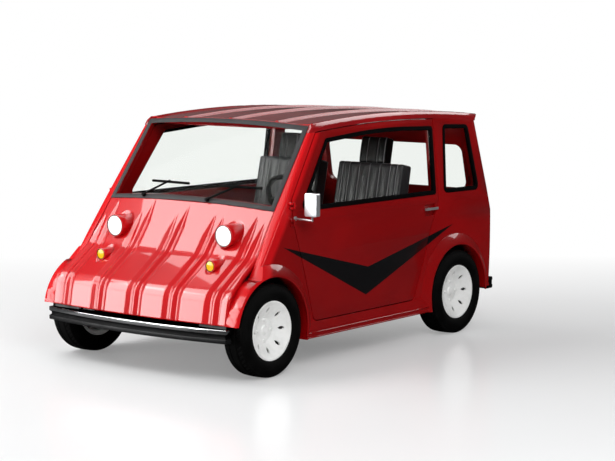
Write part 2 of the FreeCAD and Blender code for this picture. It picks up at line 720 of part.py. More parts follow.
def flute_groove(x, tip_z):
    """Cutter for one groove along the bowed panel, which fades out at its tip."""
    axis = Vector(0, SCREEN_BOTTOM_Y + BOW_RADIUS, 0)
    floor = [(front_y(tip_z), tip_z, 0.0)] + sunk(nose_corners()[1:], FLUTE_DEPTH)
    foot_y, foot_z, _ = floor[-1]
    face = Part.Face(outline("yz", floor + [(foot_y, foot_z - 30.0, 0.0), (-500.0, foot_z - 30.0, 0.0),
                                            (-500.0, tip_z, 0.0)]))
    width = math.degrees(FLUTE_WIDTH / BOW_RADIUS)
    face.rotate(axis, Vector(0, 0, 1), math.degrees(math.asin(x / BOW_RADIUS)) - 0.5 * width)
    return face.revolve(axis, Vector(0, 0, 1), width)


def nose_panel():
    outer = nose_corners()
    inner = sunk(outer, NOSE_SHEET)
    inner[-1] = (inner[-1][0], NOSE_TIP[1], 0.0)
    sheet = bowed(outer + inner[::-1]).common(nose_outline(-450.0, 250.0))
    for x, tip_z in FLUTES:
        for side in (-0.5, 0.5):
            sheet = sheet.cut(flute_groove(x + side * FLUTE_PITCH, tip_z))
    return sheet.cut(screen_prism(0.0))


def screen_pocket():
    """Space of the windscreen with its frame, which the pillars and the roof leave free."""
    return screen_layer(-100.0, SCREEN_FRAME_DEPTH, LAYER_LOW, ABOVE_ROOF + 30.0).common(screen_prism(0.0))


def screen_frame():
    ring = screen_prism(0.0).cut(screen_prism(SCREEN_SEAL_WIDTH))
    frame = screen_layer(0.0, SCREEN_FRAME_DEPTH, LAYER_LOW, ABOVE_ROOF).common(ring)
    seal = screen_layer(-SCREEN_SEAL_PROUD, 0.0, LAYER_LOW, ABOVE_ROOF).common(
        screen_prism(1.0).cut(screen_prism(SCREEN_SEAL_WIDTH)))
    glass = screen_layer(3.0, 3.0 + GLASS, LAYER_LOW, ABOVE_ROOF).common(screen_prism(SCREEN_SEAL_WIDTH))
    return frame, seal, glass


def rear_panel():
    share = (REAR_PANEL_TOP - REAR_FOOT[1]) / (REAR_CREASE[1] - REAR_FOOT[1])
    top_y = REAR_FOOT[0] + share * (REAR_CREASE[0] - REAR_FOOT[0])
    corners = [(REAR_PANEL_INNER_Y, REAR_BOTTOM[1], 0.0), (*REAR_BOTTOM, 0.0), (*REAR_FOOT, 0.0),
               (top_y, REAR_PANEL_TOP, 0.0), (REAR_PANEL_INNER_Y, REAR_PANEL_TOP, 0.0)]
    return prism("yz", corners, -620.0, 620.0).common(inner_space())


def rear_y(z):
    """Back of the car at a height."""
    if z >= REAR_CREASE[1]:
        share = (z - REAR_CREASE[1]) / (REAR_TOP[1] - REAR_CREASE[1])
        return REAR_CREASE[0] + share * (REAR_TOP[0] - REAR_CREASE[0])
    share = (z - REAR_FOOT[1]) / (REAR_CREASE[1] - REAR_FOOT[1])
    return REAR_FOOT[0] + share * (REAR_CREASE[0] - REAR_FOOT[0])


def tailgate_slab(near, far, z0, z1):
    zs = [z1, REAR_CREASE[1], z0]
    outer = [(rear_y(z) - near, z, 0.0) for z in zs]
    inner = [(rear_y(z) - far, z, 0.0) for z in reversed(zs)]
    return prism("yz", outer + inner, -620.0, 620.0)


def tailgate():
    bottom = REAR_PANEL_TOP + SHUT_GAP
    shell = tailgate_slab(0.0, TAILGATE_THICKNESS, bottom, TAILGATE_TOP).common(inner_space(SHUT_GAP))
    window = prism("xz", TAILGATE_WINDOW, REAR_TOP[0] - 2.0 * TAILGATE_THICKNESS, REAR_CREASE[0] + TAILGATE_THICKNESS)
    shell = shell.cut(window)
    glass = tailgate_slab(4.0, 4.0 + GLASS, REAR_CREASE[1] + 55.0, TAILGATE_TOP - 12.0).common(window)
    return shell, glass


def tailgate_hinges(moving):
    pieces = []
    for x in (-TAILGATE_HINGE_X, TAILGATE_HINGE_X):
        y, z = TAILGATE_HINGE_Y, TAILGATE_HINGE_Z
        half = 0.5 * TAILGATE_KNUCKLE
        if moving:
            low, high = x - half + 0.4, x + half - 0.4
            knuckle = rod((low, y, z), (high, y, z), HINGE_RADIUS)
            foot_z = TAILGATE_TOP - 24.0
            leaf = prism("yz", [(rear_y(foot_z) - 4.0, foot_z, 0.0), (rear_y(foot_z) + 3.0, foot_z, 0.0),
                                (y + 5.0, z - 2.0, 0.0), (y - 4.0, z - 2.0, 0.0),
                                (rear_y(TAILGATE_TOP) - 4.0, TAILGATE_TOP, 0.0)], low, high)
            bore = rod((low, y, z), (high, y, z), HINGE_PIN + RUNNING_CLEARANCE)
            pieces.append(fused([knuckle, leaf]).cut(bore))
        else:
            for low, high in ((x - half - 12.0, x - half), (x + half, x + half + 12.0)):
                knuckle = rod((low, y, z), (high, y, z), HINGE_RADIUS)
                post = box(low, high, y - HINGE_RADIUS, y + HINGE_RADIUS, z,
                           roof_z(y, ROOF_DROP) + ROOF_LIP_HOLLOW)
                pieces.append(fused([knuckle, post]))
            pieces.append(rod((x - half - 12.0, y, z), (x + half + 12.0, y, z), HINGE_PIN))
    return pieces


# Floor, wheelhouses and running gear

def house_cutters():
    cutters = []
    for axle_y, inner_x in ((0.0, FRONT_HOUSE_X), (WHEEL_BASE, REAR_HOUSE_X)):
        cutter = arch_cylinder(axle_y, ARCH_RADIUS + HOUSE_SHEET, inner_x, 700.0)
        cutters += [cutter, mirrored(cutter)]
    return cutters


def floor_pan():
    half = 620.0
    sheet = FLOOR_SHEET
    pieces = [
        box(-half, half, BULKHEAD_Y - sheet, BULKHEAD_Y, SILL_BOTTOM, BULKHEAD_TOP),
        box(-half, half, BULKHEAD_Y - sheet, RISER_Y, SILL_BOTTOM, FLOOR_Z),
        box(-half, half, RISER_Y - sheet, RISER_Y, SILL_BOTTOM, LOAD_FLOOR_Z),
        box(-half, half, RISER_Y - sheet, REAR_PANEL_INNER_Y, LOAD_FLOOR_Z - sheet, LOAD_FLOOR_Z),
    ]
    pan = fused(pieces).common(inner_space())
    for cutter in house_cutters():
        pan = pan.cut(cutter)
    return pan


def wheelhouses():
    houses = []
    for axle_y, inner_x in ((0.0, FRONT_HOUSE_X), (WHEEL_BASE, REAR_HOUSE_X)):
        outer = arch_cylinder(axle_y, ARCH_RADIUS + HOUSE_SHEET, inner_x, 620.0)
        hollow = arch_cylinder(axle_y, ARCH_RADIUS, inner_x + HOUSE_SHEET, 620.0)
        house = outer.cut(hollow).common(inner_space())
        reach = ARCH_RADIUS + 2.0 * HOUSE_SHEET
        house = house.cut(box(inner_x - 1.0, BODY_X, axle_y - reach, axle_y + reach, 0.0, SILL_BOTTOM + 10.0))
        if axle_y == 0.0:
            house = house.cut(box(inner_x - 1.0, BODY_X, -reach, -0.5 * reach, 0.0, BUMPER_TOP))
        window = box(inner_x - 1.0, inner_x + HOUSE_SHEET + 1.0, axle_y - reach, axle_y + reach, 0.0, KINGPIN_HIGH + 4.0)
        houses.append(house.cut(window))
    return Part.makeCompound([house for piece in houses for house in (piece, mirrored(piece))])


def front_suspension():
    """Cross beam, rails to the bumper, arms, struts and the two kingpins."""
    pieces = [box(-STRUT_X, STRUT_X, -BEAM_HALF_DEPTH, BEAM_HALF_DEPTH, BEAM_BOTTOM, BEAM_TOP)]
    low = KINGPIN_LOW + ARM_RADIUS
    high = KINGPIN_HIGH - ARM_RADIUS
    for side in (-1.0, 1.0):
        pin_x = side * KINGPIN_X
        strut_x = side * STRUT_X
        rail_x = side * RAIL_X
        pieces += [
            rod((0.97 * strut_x, 0.0, low), (pin_x, 0.0, low), ARM_RADIUS),
            rod((strut_x, 0.0, high), (pin_x, 0.0, high), ARM_RADIUS),
            rod((pin_x, 0.0, KINGPIN_LOW), (pin_x, 0.0, KINGPIN_LOW + BOSS_HEIGHT), BOSS_RADIUS),
            rod((pin_x, 0.0, KINGPIN_HIGH - BOSS_HEIGHT), (pin_x, 0.0, KINGPIN_HIGH), BOSS_RADIUS),
            rod((pin_x, 0.0, KINGPIN_LOW), (pin_x, 0.0, KINGPIN_HIGH), KINGPIN_RADIUS),
            rod((strut_x, 0.0, BEAM_TOP - 5.0), (strut_x, 0.0, STRUT_TOP), STRUT_RADIUS),
            box(rail_x - CHASSIS_RAIL_HALF, rail_x + CHASSIS_RAIL_HALF, NOSE_CORNER[0] + 21.5,
                BULKHEAD_Y - FLOOR_SHEET, BEAM_TOP, CHASSIS_RAIL_TOP),
        ]
    return fused(pieces)


def knuckle():
    """Left steering knuckle: barrel on the kingpin and the wheel's spindle."""
    low = KINGPIN_LOW + BOSS_HEIGHT + 0.4
    high = KINGPIN_HIGH - BOSS_HEIGHT - 0.4
    barrel = Part.makeCylinder(BARREL_RADIUS, high - low, Vector(KINGPIN_X, 0.0, low))
    spindle = rod((KINGPIN_X, 0.0, TYRE_RADIUS), (KINGPIN_X + 34.0, 0.0, TYRE_RADIUS), SPINDLE_RADIUS)
    bore = Part.makeCylinder(KINGPIN_RADIUS + RUNNING_CLEARANCE, high - low, Vector(KINGPIN_X, 0.0, low))
    return fused([barrel, spindle]).cut(bore)


def rear_axle():
    """Beam with its stub spindles, and two trailing arms to the riser of the floor."""
    end = KINGPIN_X + 34.0
    pieces = [
        rod((-STRUT_X - 25.0, WHEEL_BASE, TYRE_RADIUS), (STRUT_X + 25.0, WHEEL_BASE, TYRE_RADIUS), AXLE_RADIUS),
        rod((-end, WHEEL_BASE, TYRE_RADIUS), (end, WHEEL_BASE, TYRE_RADIUS), SPINDLE_RADIUS),
    ]
    for side in (-1.0, 1.0):
        arm_x = side * TRAILING_ARM_X
        pieces.append(box(arm_x - 18.0, arm_x + 18.0, RISER_Y, WHEEL_BASE, TYRE_RADIUS - 20.0, TYRE_RADIUS + 20.0))
    return fused(pieces)


def rim():
    """Pressed wheel about the Y axis of its own, outer face at zero, then stood on the spindle."""
    depth = 2.0 * RIM_HALF_WIDTH
    barrel = BEAD_RADIUS - 6.0
    bore = SPINDLE_RADIUS + RUNNING_CLEARANCE
    # Radius and depth behind the outer face, out along the front and back along the inside
    section = [
        (0.0, 44.0), (18.0, 44.0), (24.0, 51.0), (58.0, 51.0), (BEAD_RADIUS - 2.0, 10.0),
        (RIM_RADIUS - 6.0, 0.0), (RIM_RADIUS, 0.0), (RIM_RADIUS, 5.0), (BEAD_RADIUS, 10.0),
        (BEAD_RADIUS, depth - 9.0), (RIM_RADIUS, depth - 5.0), (RIM_RADIUS, depth), (barrel, depth - 14.0),
        (barrel, 22.0), (60.0, 58.0), (34.0, 58.0), (34.0, HUB_DEPTH), (bore, HUB_DEPTH), (bore, 60.0), (0.0, 60.0),
    ]
    face_x = WHEEL_X + RIM_HALF_WIDTH
    points = [Vector(face_x - a, 0.0, r) for r, a in section]
    face = Part.Face(Part.makePolygon(points + points[:1]))
    shape = face.revolve(Vector(0, 0, 0), Vector(1, 0, 0), 360)
    leaf = [(SLOT_RADIUS + 0.5 * SLOT_LENGTH * a, 0.5 * SLOT_WIDTH * b, 0.0) for a, b in SLOT_SHAPE]
    for index in range(SLOT_COUNT):
        angle = 360.0 * index / SLOT_COUNT
        slot = prism("yz", leaf, face_x - HUB_DEPTH, face_x)
        slot.rotate(Vector(0, 0, 0), Vector(1, 0, 0), angle)
        shape = shape.cut(slot)
    nuts = []
    for index in range(NUT_COUNT):
        angle = math.radians(90.0 * index)
        start = Vector(face_x - 53.0, NUT_CIRCLE_RADIUS * math.cos(angle), NUT_CIRCLE_RADIUS * math.sin(angle))
        corners = [start + Vector(0.0, NUT_RADIUS * math.cos(math.radians(a)), NUT_RADIUS * math.sin(math.radians(a)))
                   for a in range(0, 420, 60)]
        nuts.append(Part.Face(Part.makePolygon(corners)).extrude(Vector(9.0, 0, 0)))
    return fused([shape] + nuts)


def tyre():
    """Tyre section about the axle, with its walls widest at half their height."""
    bead = BEAD_RADIUS + BEAD_CLEARANCE
    middle = 0.5 * (RIM_RADIUS + TYRE_RADIUS)
    right = [(RIM_HALF_WIDTH - 13.5, bead), (TYRE_HALF_WIDTH, middle - 4.0), (TYRE_HALF_WIDTH - 15.0, TYRE_RADIUS)]
    points = [Vector(x, 0.0, r) for x, r in right] + [Vector(-x, 0.0, r) for x, r in reversed(right)]
    shape = Part.Face(Part.makePolygon(points + points[:1])).revolve(Vector(0, 0, 0), Vector(1, 0, 0), 360)
    shape.translate(Vector(WHEEL_X, 0, 0))
    return shape


def at_corner(shape, axle_y, side):
    moved = shape.copy()
    moved.translate(Vector(0, axle_y, TYRE_RADIUS))
    return moved if side > 0 else mirrored(moved)


# Bumpers and lamps

def bumper_band(outer, inner, z0, z1):
    """Band that follows the bumper's bowed front and turns back at the ends."""
    bow = BUMPER_END_Y - BUMPER_MIDDLE_Y
    radius = (BUMPER_HALF_WIDTH ** 2 + bow ** 2) / (2.0 * bow)
    centre_y = BUMPER_MIDDLE_Y + radius

    def plate(offset, back):
        half = BUMPER_HALF_WIDTH + offset
        r = radius + offset
        end_y = centre_y - math.sqrt(r ** 2 - half ** 2)
        arc = Part.Arc(Vector(-half, end_y, z0), Vector(0, centre_y - r, z0), Vector(half, end_y, z0)).toShape()
        lines = [Part.makeLine(Vector(half, end_y, z0), Vector(half, back, z0)),
                 Part.makeLine(Vector(half, back, z0), Vector(-half, back, z0)),
                 Part.makeLine(Vector(-half, back, z0), Vector(-half, end_y, z0))]
        return Part.Face(Part.Wire([arc] + lines)).extrude(Vector(0, 0, z1 - z0))

    back = BUMPER_END_Y + BUMPER_RETURN
    return plate(outer, back).cut(plate(inner, back + 5.0))


def front_bumper():
    core = bumper_band(0.0, -BUMPER_WALL, BUMPER_BOTTOM + 2.0, BUMPER_TOP - 2.0)
    core = core.cut(bumper_band(10.0, -5.0, BUMPER_BOTTOM + STRIP_HEIGHT + 4.0, BUMPER_TOP - STRIP_HEIGHT - 4.0))
    arms = [box(side * RAIL_X - 16.0, side * RAIL_X + 16.0, -318.0, -255.0, 212.0, 245.0) for side in (-1.0, 1.0)]
    return fused([core] + arms)


def bumper_strips():
    top = bumper_band(STRIP_PROUD, 0.0, BUMPER_TOP - STRIP_HEIGHT, BUMPER_TOP)
    bottom = bumper_band(STRIP_PROUD, 0.0, BUMPER_BOTTOM, BUMPER_BOTTOM + STRIP_HEIGHT)
    return Part.makeCompound([top, bottom])


def rear_bumper():
    half = 600.0
    bar = prism("yz", [(REAR_BUMPER_FRONT, BUMPER_BOTTOM, 4.0), (REAR_BUMPER_BACK, BUMPER_BOTTOM, 9.0),
                       (REAR_BUMPER_BACK, BUMPER_TOP, 9.0), (REAR_BUMPER_FRONT, BUMPER_TOP, 4.0)], -half, half)
    groove = box(-half - 1.0, half + 1.0, REAR_BUMPER_BACK - 5.0, REAR_BUMPER_BACK + 1.0,
                 BUMPER_BOTTOM + STRIP_HEIGHT, BUMPER_TOP - STRIP_HEIGHT)
    stays = [box(side * RAIL_X - 20.0, side * RAIL_X + 20.0, REAR_BOTTOM[0] - 20.0, REAR_BUMPER_FRONT + 4.0,
                 232.0, 256.0) for side in (-1.0, 1.0)]
    shape = fused([bar.cut(groove)] + stays)
    cutter = prism("yz", [(RISER_Y, REAR_BOTTOM[1], 0.0), (*REAR_BOTTOM, 0.0), (*REAR_FOOT, 0.0), (RISER_Y, REAR_FOOT[1], 0.0)],
                   -620.0, 620.0)
    return shape.cut(cutter)


def lamp_barrel(centre, radius, nose_skin):
    """Round housing that stands out of the sloping front panel."""
    x, y, z = centre
    return rod((x, y, z), (x, y + 220.0, z), radius + LAMP_RIM).cut(nose_skin)


def lens(centre, radius):
    x, y, z = centre
    return rod((x, y - LENS_THICKNESS, z), (x, y, z), radius)


# Cabin

def seat_pieces():
    """Cushion, back with its headrest, for the left seat."""
    half = 0.5 * CUSHION_WIDTH
    cushion = prism("yz", [(CUSHION_FRONT, CUSHION_BOTTOM, 20.0), (CUSHION_REAR, CUSHION_BOTTOM, 20.0),
                           (CUSHION_REAR, CUSHION_TOP - 10.0, 20.0), (CUSHION_FRONT, CUSHION_TOP, 45.0)],
                    SEAT_X - half, SEAT_X + half)
    lean = math.tan(math.radians(BACK_LEAN))
    foot = CUSHION_TOP + 4.0
    top_y = BACK_FOOT_Y + lean * (BACK_TOP_Z - foot)
    back = prism("yz", [(BACK_FOOT_Y, foot, 15.0), (BACK_FOOT_Y + BACK_THICKNESS, foot, 15.0),
                        (top_y + BACK_THICKNESS - 20.0, BACK_TOP_Z - 8.0, 30.0), (top_y, BACK_TOP_Z, 30.0)],
                 SEAT_X - half, SEAT_X + half)
    rest_z = BACK_TOP_Z + 12.0
    rest_y = top_y + lean * 12.0 + 8.0
    width = 0.5 * HEADREST_WIDTH
    rest = prism("yz", [(rest_y, rest_z, 15.0), (rest_y + HEADREST_THICKNESS, rest_z, 15.0),
                        (rest_y + HEADREST_THICKNESS + lean * HEADREST_HEIGHT, rest_z + HEADREST_HEIGHT, 25.0),
                        (rest_y + lean * HEADREST_HEIGHT, rest_z + HEADREST_HEIGHT, 25.0)],
                 SEAT_X - width, SEAT_X + width)
    posts = [rod((SEAT_X + side * 50.0, rest_y + 30.0, BACK_TOP_Z - 18.0),
                 (SEAT_X + side * 50.0, rest_y + 32.0, rest_z + 0.5), 6.0) for side in (-1.0, 1.0)]
    posts = [post.cut(back) for post in posts]
    return cushion, back, fused([rest] + posts)


def seat_base():
    """Sheet box under both seats, open below, with the supports of the two backs."""
    outer = box(-BASE_HALF_WIDTH, BASE_HALF_WIDTH, BASE_FRONT, BASE_REAR, FLOOR_Z, CUSHION_BOTTOM)
    inner = BASE_HALF_WIDTH - BASE_SHEET
    hollow = box(-inner, inner, BASE_FRONT + BASE_SHEET, BASE_REAR - BASE_SHEET, FLOOR_Z - 1.0,
                 CUSHION_BOTTOM - BASE_SHEET)
    pieces = [outer.cut(hollow)]
    for side in (-1.0, 1.0):
        x = side * SEAT_X
        for edge in (-1.0, 1.0):
            low = x + edge * 150.0 - 15.0
            pieces.append(box(low, low + 30.0, BASE_REAR - 24.0, BASE_REAR, CUSHION_BOTTOM - 3.0, CUSHION_TOP + 4.0))
    return fused(pieces)


def dashboard():
    corners = [(BULKHEAD_Y, 600.0, 0.0), (BULKHEAD_Y, 742.0, 0.0), (175.0, 757.0, 20.0), (318.0, 742.0, 30.0),
               (345.0, 700.0, 25.0), (330.0, 600.0, 20.0)]
    return prism("yz", corners, -620.0, 620.0).common(inner_space(7.0))


def steering_frame(shape):
    """Lay a steering piece, made about the Z axis, in the tilted plane of the wheel."""
    placed = shape.copy()
    placed.rotate(Vector(0, 0, 0), Vector(1, 0, 0), -(90.0 - STEERING_TILT))
    placed.translate(Vector(*WHEEL_HUB))
    return placed


def steering_wheel():
    ring = [Vector(STEERING_RADIUS - STEERING_RIM + STEERING_RIM * math.cos(math.radians(a)), 0.0,
                   STEERING_RIM * math.sin(math.radians(a))) for a in range(0, 405, 45)]
    rim_ring = Part.Face(Part.makePolygon(ring)).revolve(Vector(0, 0, 0), Vector(0, 0, 1), 360)
    hub = Part.makeCylinder(32.0, 30.0, Vector(0, 0, -15.0))
    spokes = []
    for angle in (0.0, 90.0, 180.0):
        spoke = box(20.0, STEERING_RADIUS - STEERING_RIM, -14.0, 14.0, -4.0, 4.0)
        spoke.rotate(Vector(0, 0, 0), Vector(0, 0, 1), angle)
        spokes.append(spoke)
    return steering_frame(fused([rim_ring, hub] + spokes))


def steering_column():
    return steering_frame(Part.makeCylinder(20.0, 320.0, Vector(0, 0, -336.0)))


def wiper(pivot_x, arm_x, blade_x0, blade_x1):
    """One wiper: pivot, arm and blade in front of the windscreen."""
    def on_screen(x, z, proud):
        slant = math.hypot(1.0, SCREEN_SLOPE)
        return (x, front_y(z) + bow_y(x) - proud / slant, z + proud * SCREEN_SLOPE / slant)
    pivot = on_screen(pivot_x, 812.0, SCREEN_SEAL_PROUD + 0.8)
    top = on_screen(pivot_x, 812.0, 18.0)
    arm_end = on_screen(arm_x, 884.0, 16.0)
    pieces = [
        rod(pivot, top, 9.0),
        rod(on_screen(pivot_x, 812.0, 15.0), arm_end, 4.0),
        rod(arm_end, on_screen(arm_x, 881.0, 10.0), 5.0),
        rod(on_screen(blade_x0, 881.0, 10.0), on_screen(blade_x1, 881.0, 10.0), 5.5),
    ]
    return fused(pieces)


def tail_lamps():
    """Upright lamps on the back panel, left and right of the tailgate."""
    z0, z1 = 330.0, 440.0
    lamp = prism("yz", [(rear_y(z0), z0, 0.0), (rear_y(z0) + 16.0, z0 + 3.0, 4.0),
                        (rear_y(z1) + 16.0, z1 - 3.0, 4.0), (rear_y(z1), z1, 0.0)], 450.0, 545.0)
    return both_sides(lamp)


def main():
    os.makedirs(PARTS, exist_ok=True)

    left_side = body_side()
    save("body_side_left", left_side)
    save("body_side_right", mirrored(left_side))
    left_door = door()
    save("door_left", left_door)
    save("door_right", mirrored(left_door))
    door_seal, door_glass = side_window(DOOR_WINDOW)
    save("door_seal_left", door_seal)
    save("door_seal_right", mirrored(door_seal))
    save("door_glass_left", door_glass)
    save("door_glass_right", mirrored(door_glass))
    left_handle = handle()
    save("door_fittings_left", Part.makeCompound([left_handle, mirror_arm()]))
    save("door_fittings_right", mirrored(left_handle))

    frame, screen_seal, screen_glass = screen_frame()
    quarter_seal, quarter_glass = side_window(QUARTER_WINDOW)
    save("windscreen_frame", frame)
    save("window_seals", Part.makeCompound([screen_seal, quarter_seal, mirrored(quarter_seal)]))
    save("fixed_windows", Part.makeCompound([screen_glass, quarter_glass, mirrored(quarter_glass)]))

    save("nose_panel", nose_panel())
    save("roof_panel", fused([roof()] + tailgate_hinges(False)))

    save("rear_panel", rear_panel())
    gate, gate_glass = tailgate()
    save("tailgate", fused([gate] + tailgate_hinges(True)))
    save("tailgate_glass", gate_glass)

    save("floor_pan", floor_pan())
    save("wheelhouses", wheelhouses())
    save("front_suspension", front_suspension())
    left_knuckle = knuckle()
    save("knuckle_left", left_knuckle)
    save("knuckle_right", mirrored(left_knuckle))
    save("rear_axle", rear_axle())
    one_rim = rim()
    one_tyre = tyre()
    for end, axle_y in (("front", 0.0), ("rear", WHEEL_BASE)):
        for side, sign in (("left", 1.0), ("right", -1.0)):
            save("rim_%s_%s" % (end, side), at_corner(one_rim, axle_y, sign))
            save("tyre_%s_%s" % (end, side), at_corner(one_tyre, axle_y, sign))

    save("front_bumper", front_bumper())
    save("bumper_strips", bumper_strips())
    save("rear_bumper", rear_bumper())
    skin = behind_nose()
    head = lamp_barrel(HEADLAMP, HEADLAMP_RADIUS, skin)
    blink = lamp_barrel(INDICATOR, INDICATOR_RADIUS, skin)
    save("lamp_housings", Part.makeCompound([head, mirrored(head), blink, mirrored(blink)]))
    head_lens = lens(HEADLAMP, HEADLAMP_RADIUS)
    blink_lens = lens(INDICATOR, INDICATOR_RADIUS).cut(skin)
    save("lamp_lenses", Part.makeCompound([head_lens, mirrored(head_lens), blink_lens, mirrored(blink_lens)]))
    save("tail_lamps", tail_lamps())

    cushion, back, rest = seat_pieces()
    save("seat_cushions", both_sides(cushion))
    save("seat_backs", Part.makeCompound([back, mirrored(back), rest, mirrored(rest)]))
    save("seat_base", seat_base())
    save("battery_block", box(-BATTERY_HALF_WIDTH, BATTERY_HALF_WIDTH, BASE_FRONT + 30.0, BASE_REAR - 30.0,
                              FLOOR_Z, CUSHION_BOTTOM - 10.0))
    save("motor_block", box(-MOTOR_HALF_WIDTH, MOTOR_HALF_WIDTH, RISER_Y + 30.0, RISER_Y + 30.0 + MOTOR_LENGTH,
                            SILL_BOTTOM + 30.0, LOAD_FLOOR_Z - FLOOR_SHEET))
    save("dashboard", fused([dashboard(), steering_column()]))
    save("steering_wheel", steering_wheel())
    save("wipers", Part.makeCompound([wiper(131.0, 289.0, 163.0, 431.0), wiper(-307.0, -165.0, -287.0, -33.0)]))


main()
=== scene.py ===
import json
import math
import bmesh
import bpy
import numpy as np
from mathutils import Matrix, Vector


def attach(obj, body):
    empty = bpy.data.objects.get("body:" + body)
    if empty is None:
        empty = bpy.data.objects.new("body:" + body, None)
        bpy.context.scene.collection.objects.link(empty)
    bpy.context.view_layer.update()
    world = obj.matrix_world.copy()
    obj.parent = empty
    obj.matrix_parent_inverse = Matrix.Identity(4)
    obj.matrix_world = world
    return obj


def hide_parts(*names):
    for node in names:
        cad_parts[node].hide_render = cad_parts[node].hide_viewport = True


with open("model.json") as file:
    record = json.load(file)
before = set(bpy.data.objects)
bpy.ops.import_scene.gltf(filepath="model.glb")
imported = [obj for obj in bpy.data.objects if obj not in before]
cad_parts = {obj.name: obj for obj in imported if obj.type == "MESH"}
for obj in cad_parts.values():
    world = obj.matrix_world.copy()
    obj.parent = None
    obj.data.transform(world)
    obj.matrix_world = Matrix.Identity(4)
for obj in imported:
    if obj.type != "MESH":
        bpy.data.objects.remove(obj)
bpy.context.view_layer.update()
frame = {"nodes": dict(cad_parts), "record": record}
print("frame loaded")

bodyOf = {node: body for body, nodes in frame["record"]["behaviour"]["bodies"].items() for node in nodes}
scene = bpy.context.scene
sides = {"left": 1.0, "right": -1.0}
wheels = {"radius": 0.228, "axles": {"front": 0.0, "rear": 1.575}}  # to the tread, and along the car
white = (1.0, 1.0, 1.0, 1.0)


# Colours and nodes

# Each sRGB channel c of a hex colour becomes ((c + 0.055) / 1.055) ** 2.4, or c / 12.92 when dark.
def linear(code):
    values = [int(code[i:i + 2], 16) / 255.0 for i in (1, 3, 5)]
    return (*[c / 12.92 if c <= 0.04045 else ((c + 0.055) / 1.055) ** 2.4 for c in values], 1.0)


# A linear colour made paler or darker: each channel times gain, plus lift, and 1 at most.
def shaded(colour, gain, lift=0.0):
    return (*[min(1.0, c * gain + lift) for c in colour[:3]], 1.0)


# Adds a node and returns one of its outputs, or all of them where output is None. Inputs, by name or in order,
# are numbers, colours or other nodes' outputs, and settings are the node's properties.
def addNode(tree, kind, inputs=(), output=0, **settings):
    node = tree.nodes.new("ShaderNode" + kind)
    for key, value in settings.items():
        setattr(node, key, value)
    for key, value in inputs.items() if isinstance(inputs, dict) else enumerate(inputs):
        if isinstance(value, bpy.types.NodeSocket):
            tree.links.new(value, node.inputs[key])
        else:
            node.inputs[key].default_value = value
    return node.outputs if output is None else node.outputs[output]


# An empty material, its tree, and the object coordinates in metres.
def newMaterial(name):
    material = bpy.data.materials.new(name)
    material.use_nodes = True
    tree = material.node_tree
    tree.nodes.clear()
    return material, tree, addNode(tree, "TexCoord", (), "Object")


# The material with its shader joined to its output.
def finished(material, tree, shader):
    addNode(tree, "OutputMaterial", {"Surface": shader}, None)
    return material


# A colour that drifts to a second one where a cloudy pattern rises from low to high, and that pattern.
def cloudy(tree, place, first, second, scale, detail, rough=0.5, low=0.0, high=1.0):
    cloud = addNode(tree, "TexNoise", {"Vector": place, "Scale": scale, "Detail": detail, "Roughness": rough})
    share = addNode(tree, "MapRange", (cloud, low, high))
    return addNode(tree, "Mix", {0: share, 6: first, 7: second}, 2, data_type="RGBA"), cloud


# The normal of a surface whose skin rises and falls by a noise.
def roughened(tree, place, scale, detail, distance, strength):
    height = addNode(tree, "TexNoise", {"Vector": place, "Scale": scale, "Detail": detail})
    return addNode(tree, "Bump", {"Height": height, "Distance": distance, "Strength": strength})


# Finishes

paint = {
    # One red enamel in three copies: the front panel's nose red is painted lighter, as lit, and the sides' and
    # the roof's reds are painted darker, as shade.
    "red": "#9a0508", "redDeep": "#880407", "nose": "#d40c14", "noseDeep": "#ca0b13",
    "roof": "#a8141a", "roofDeep": "#981117", "black": "#0d0c0e",
    "stripeTip": (0.115, 0.616), "stripeInner": (0.788, 0.451), "stripeBottom": (0.767, 0.309),
    "stripeRear": (1.567, 0.600), "stripeEdge": 0.0015,
    "screenFoot": (0.0934, 0.785), "screenSlope": 0.728,
    # The pillar and strip values place painted light: forward pillar faces in the lit front red, and a painted
    # highlight along the pillars' outer corners.
    "pillarFacing": (-0.60, -0.45), "pillarDepth": (0.055, 0.070), "pillarCoat": 0.15,
    "stripFacing": (0.30, 0.40), "stripDepth": (0.085, 0.115), "stripShare": 0.85,
    "cornerRun": (-0.24, -0.14),  # where the body sides' red is painted lighter towards the front panel, as lit
    "peel": 0.004,  # orange peel of a sprayed coat, about 4 mm between its waves
}


# 1 inside the V stripe: below the higher of its two upper lines and above the higher of its two lower ones.
def stripeMask(tree, along, height):
    lines = []
    for start, end in (("stripeTip", "stripeInner"), ("stripeInner", "stripeRear"),
                       ("stripeTip", "stripeBottom"), ("stripeBottom", "stripeRear")):
        (y, z), (endY, endZ) = paint[start], paint[end]
        slope = (endZ - z) / (endY - y)
        lines.append(addNode(tree, "Math", (along, slope, z - slope * y), operation="MULTIPLY_ADD"))
    upper = addNode(tree, "Math", lines[:2], operation="MAXIMUM")
    lower = addNode(tree, "Math", lines[2:], operation="MAXIMUM")
    under = addNode(tree, "Math", (upper, height), operation="SUBTRACT")
    over = addNode(tree, "Math", (height, lower), operation="SUBTRACT")
    inside = addNode(tree, "Math", (under, over), operation="MINIMUM")
    return addNode(tree, "MapRange", (inside, -0.5 * paint["stripeEdge"], 0.5 * paint["stripeEdge"]))
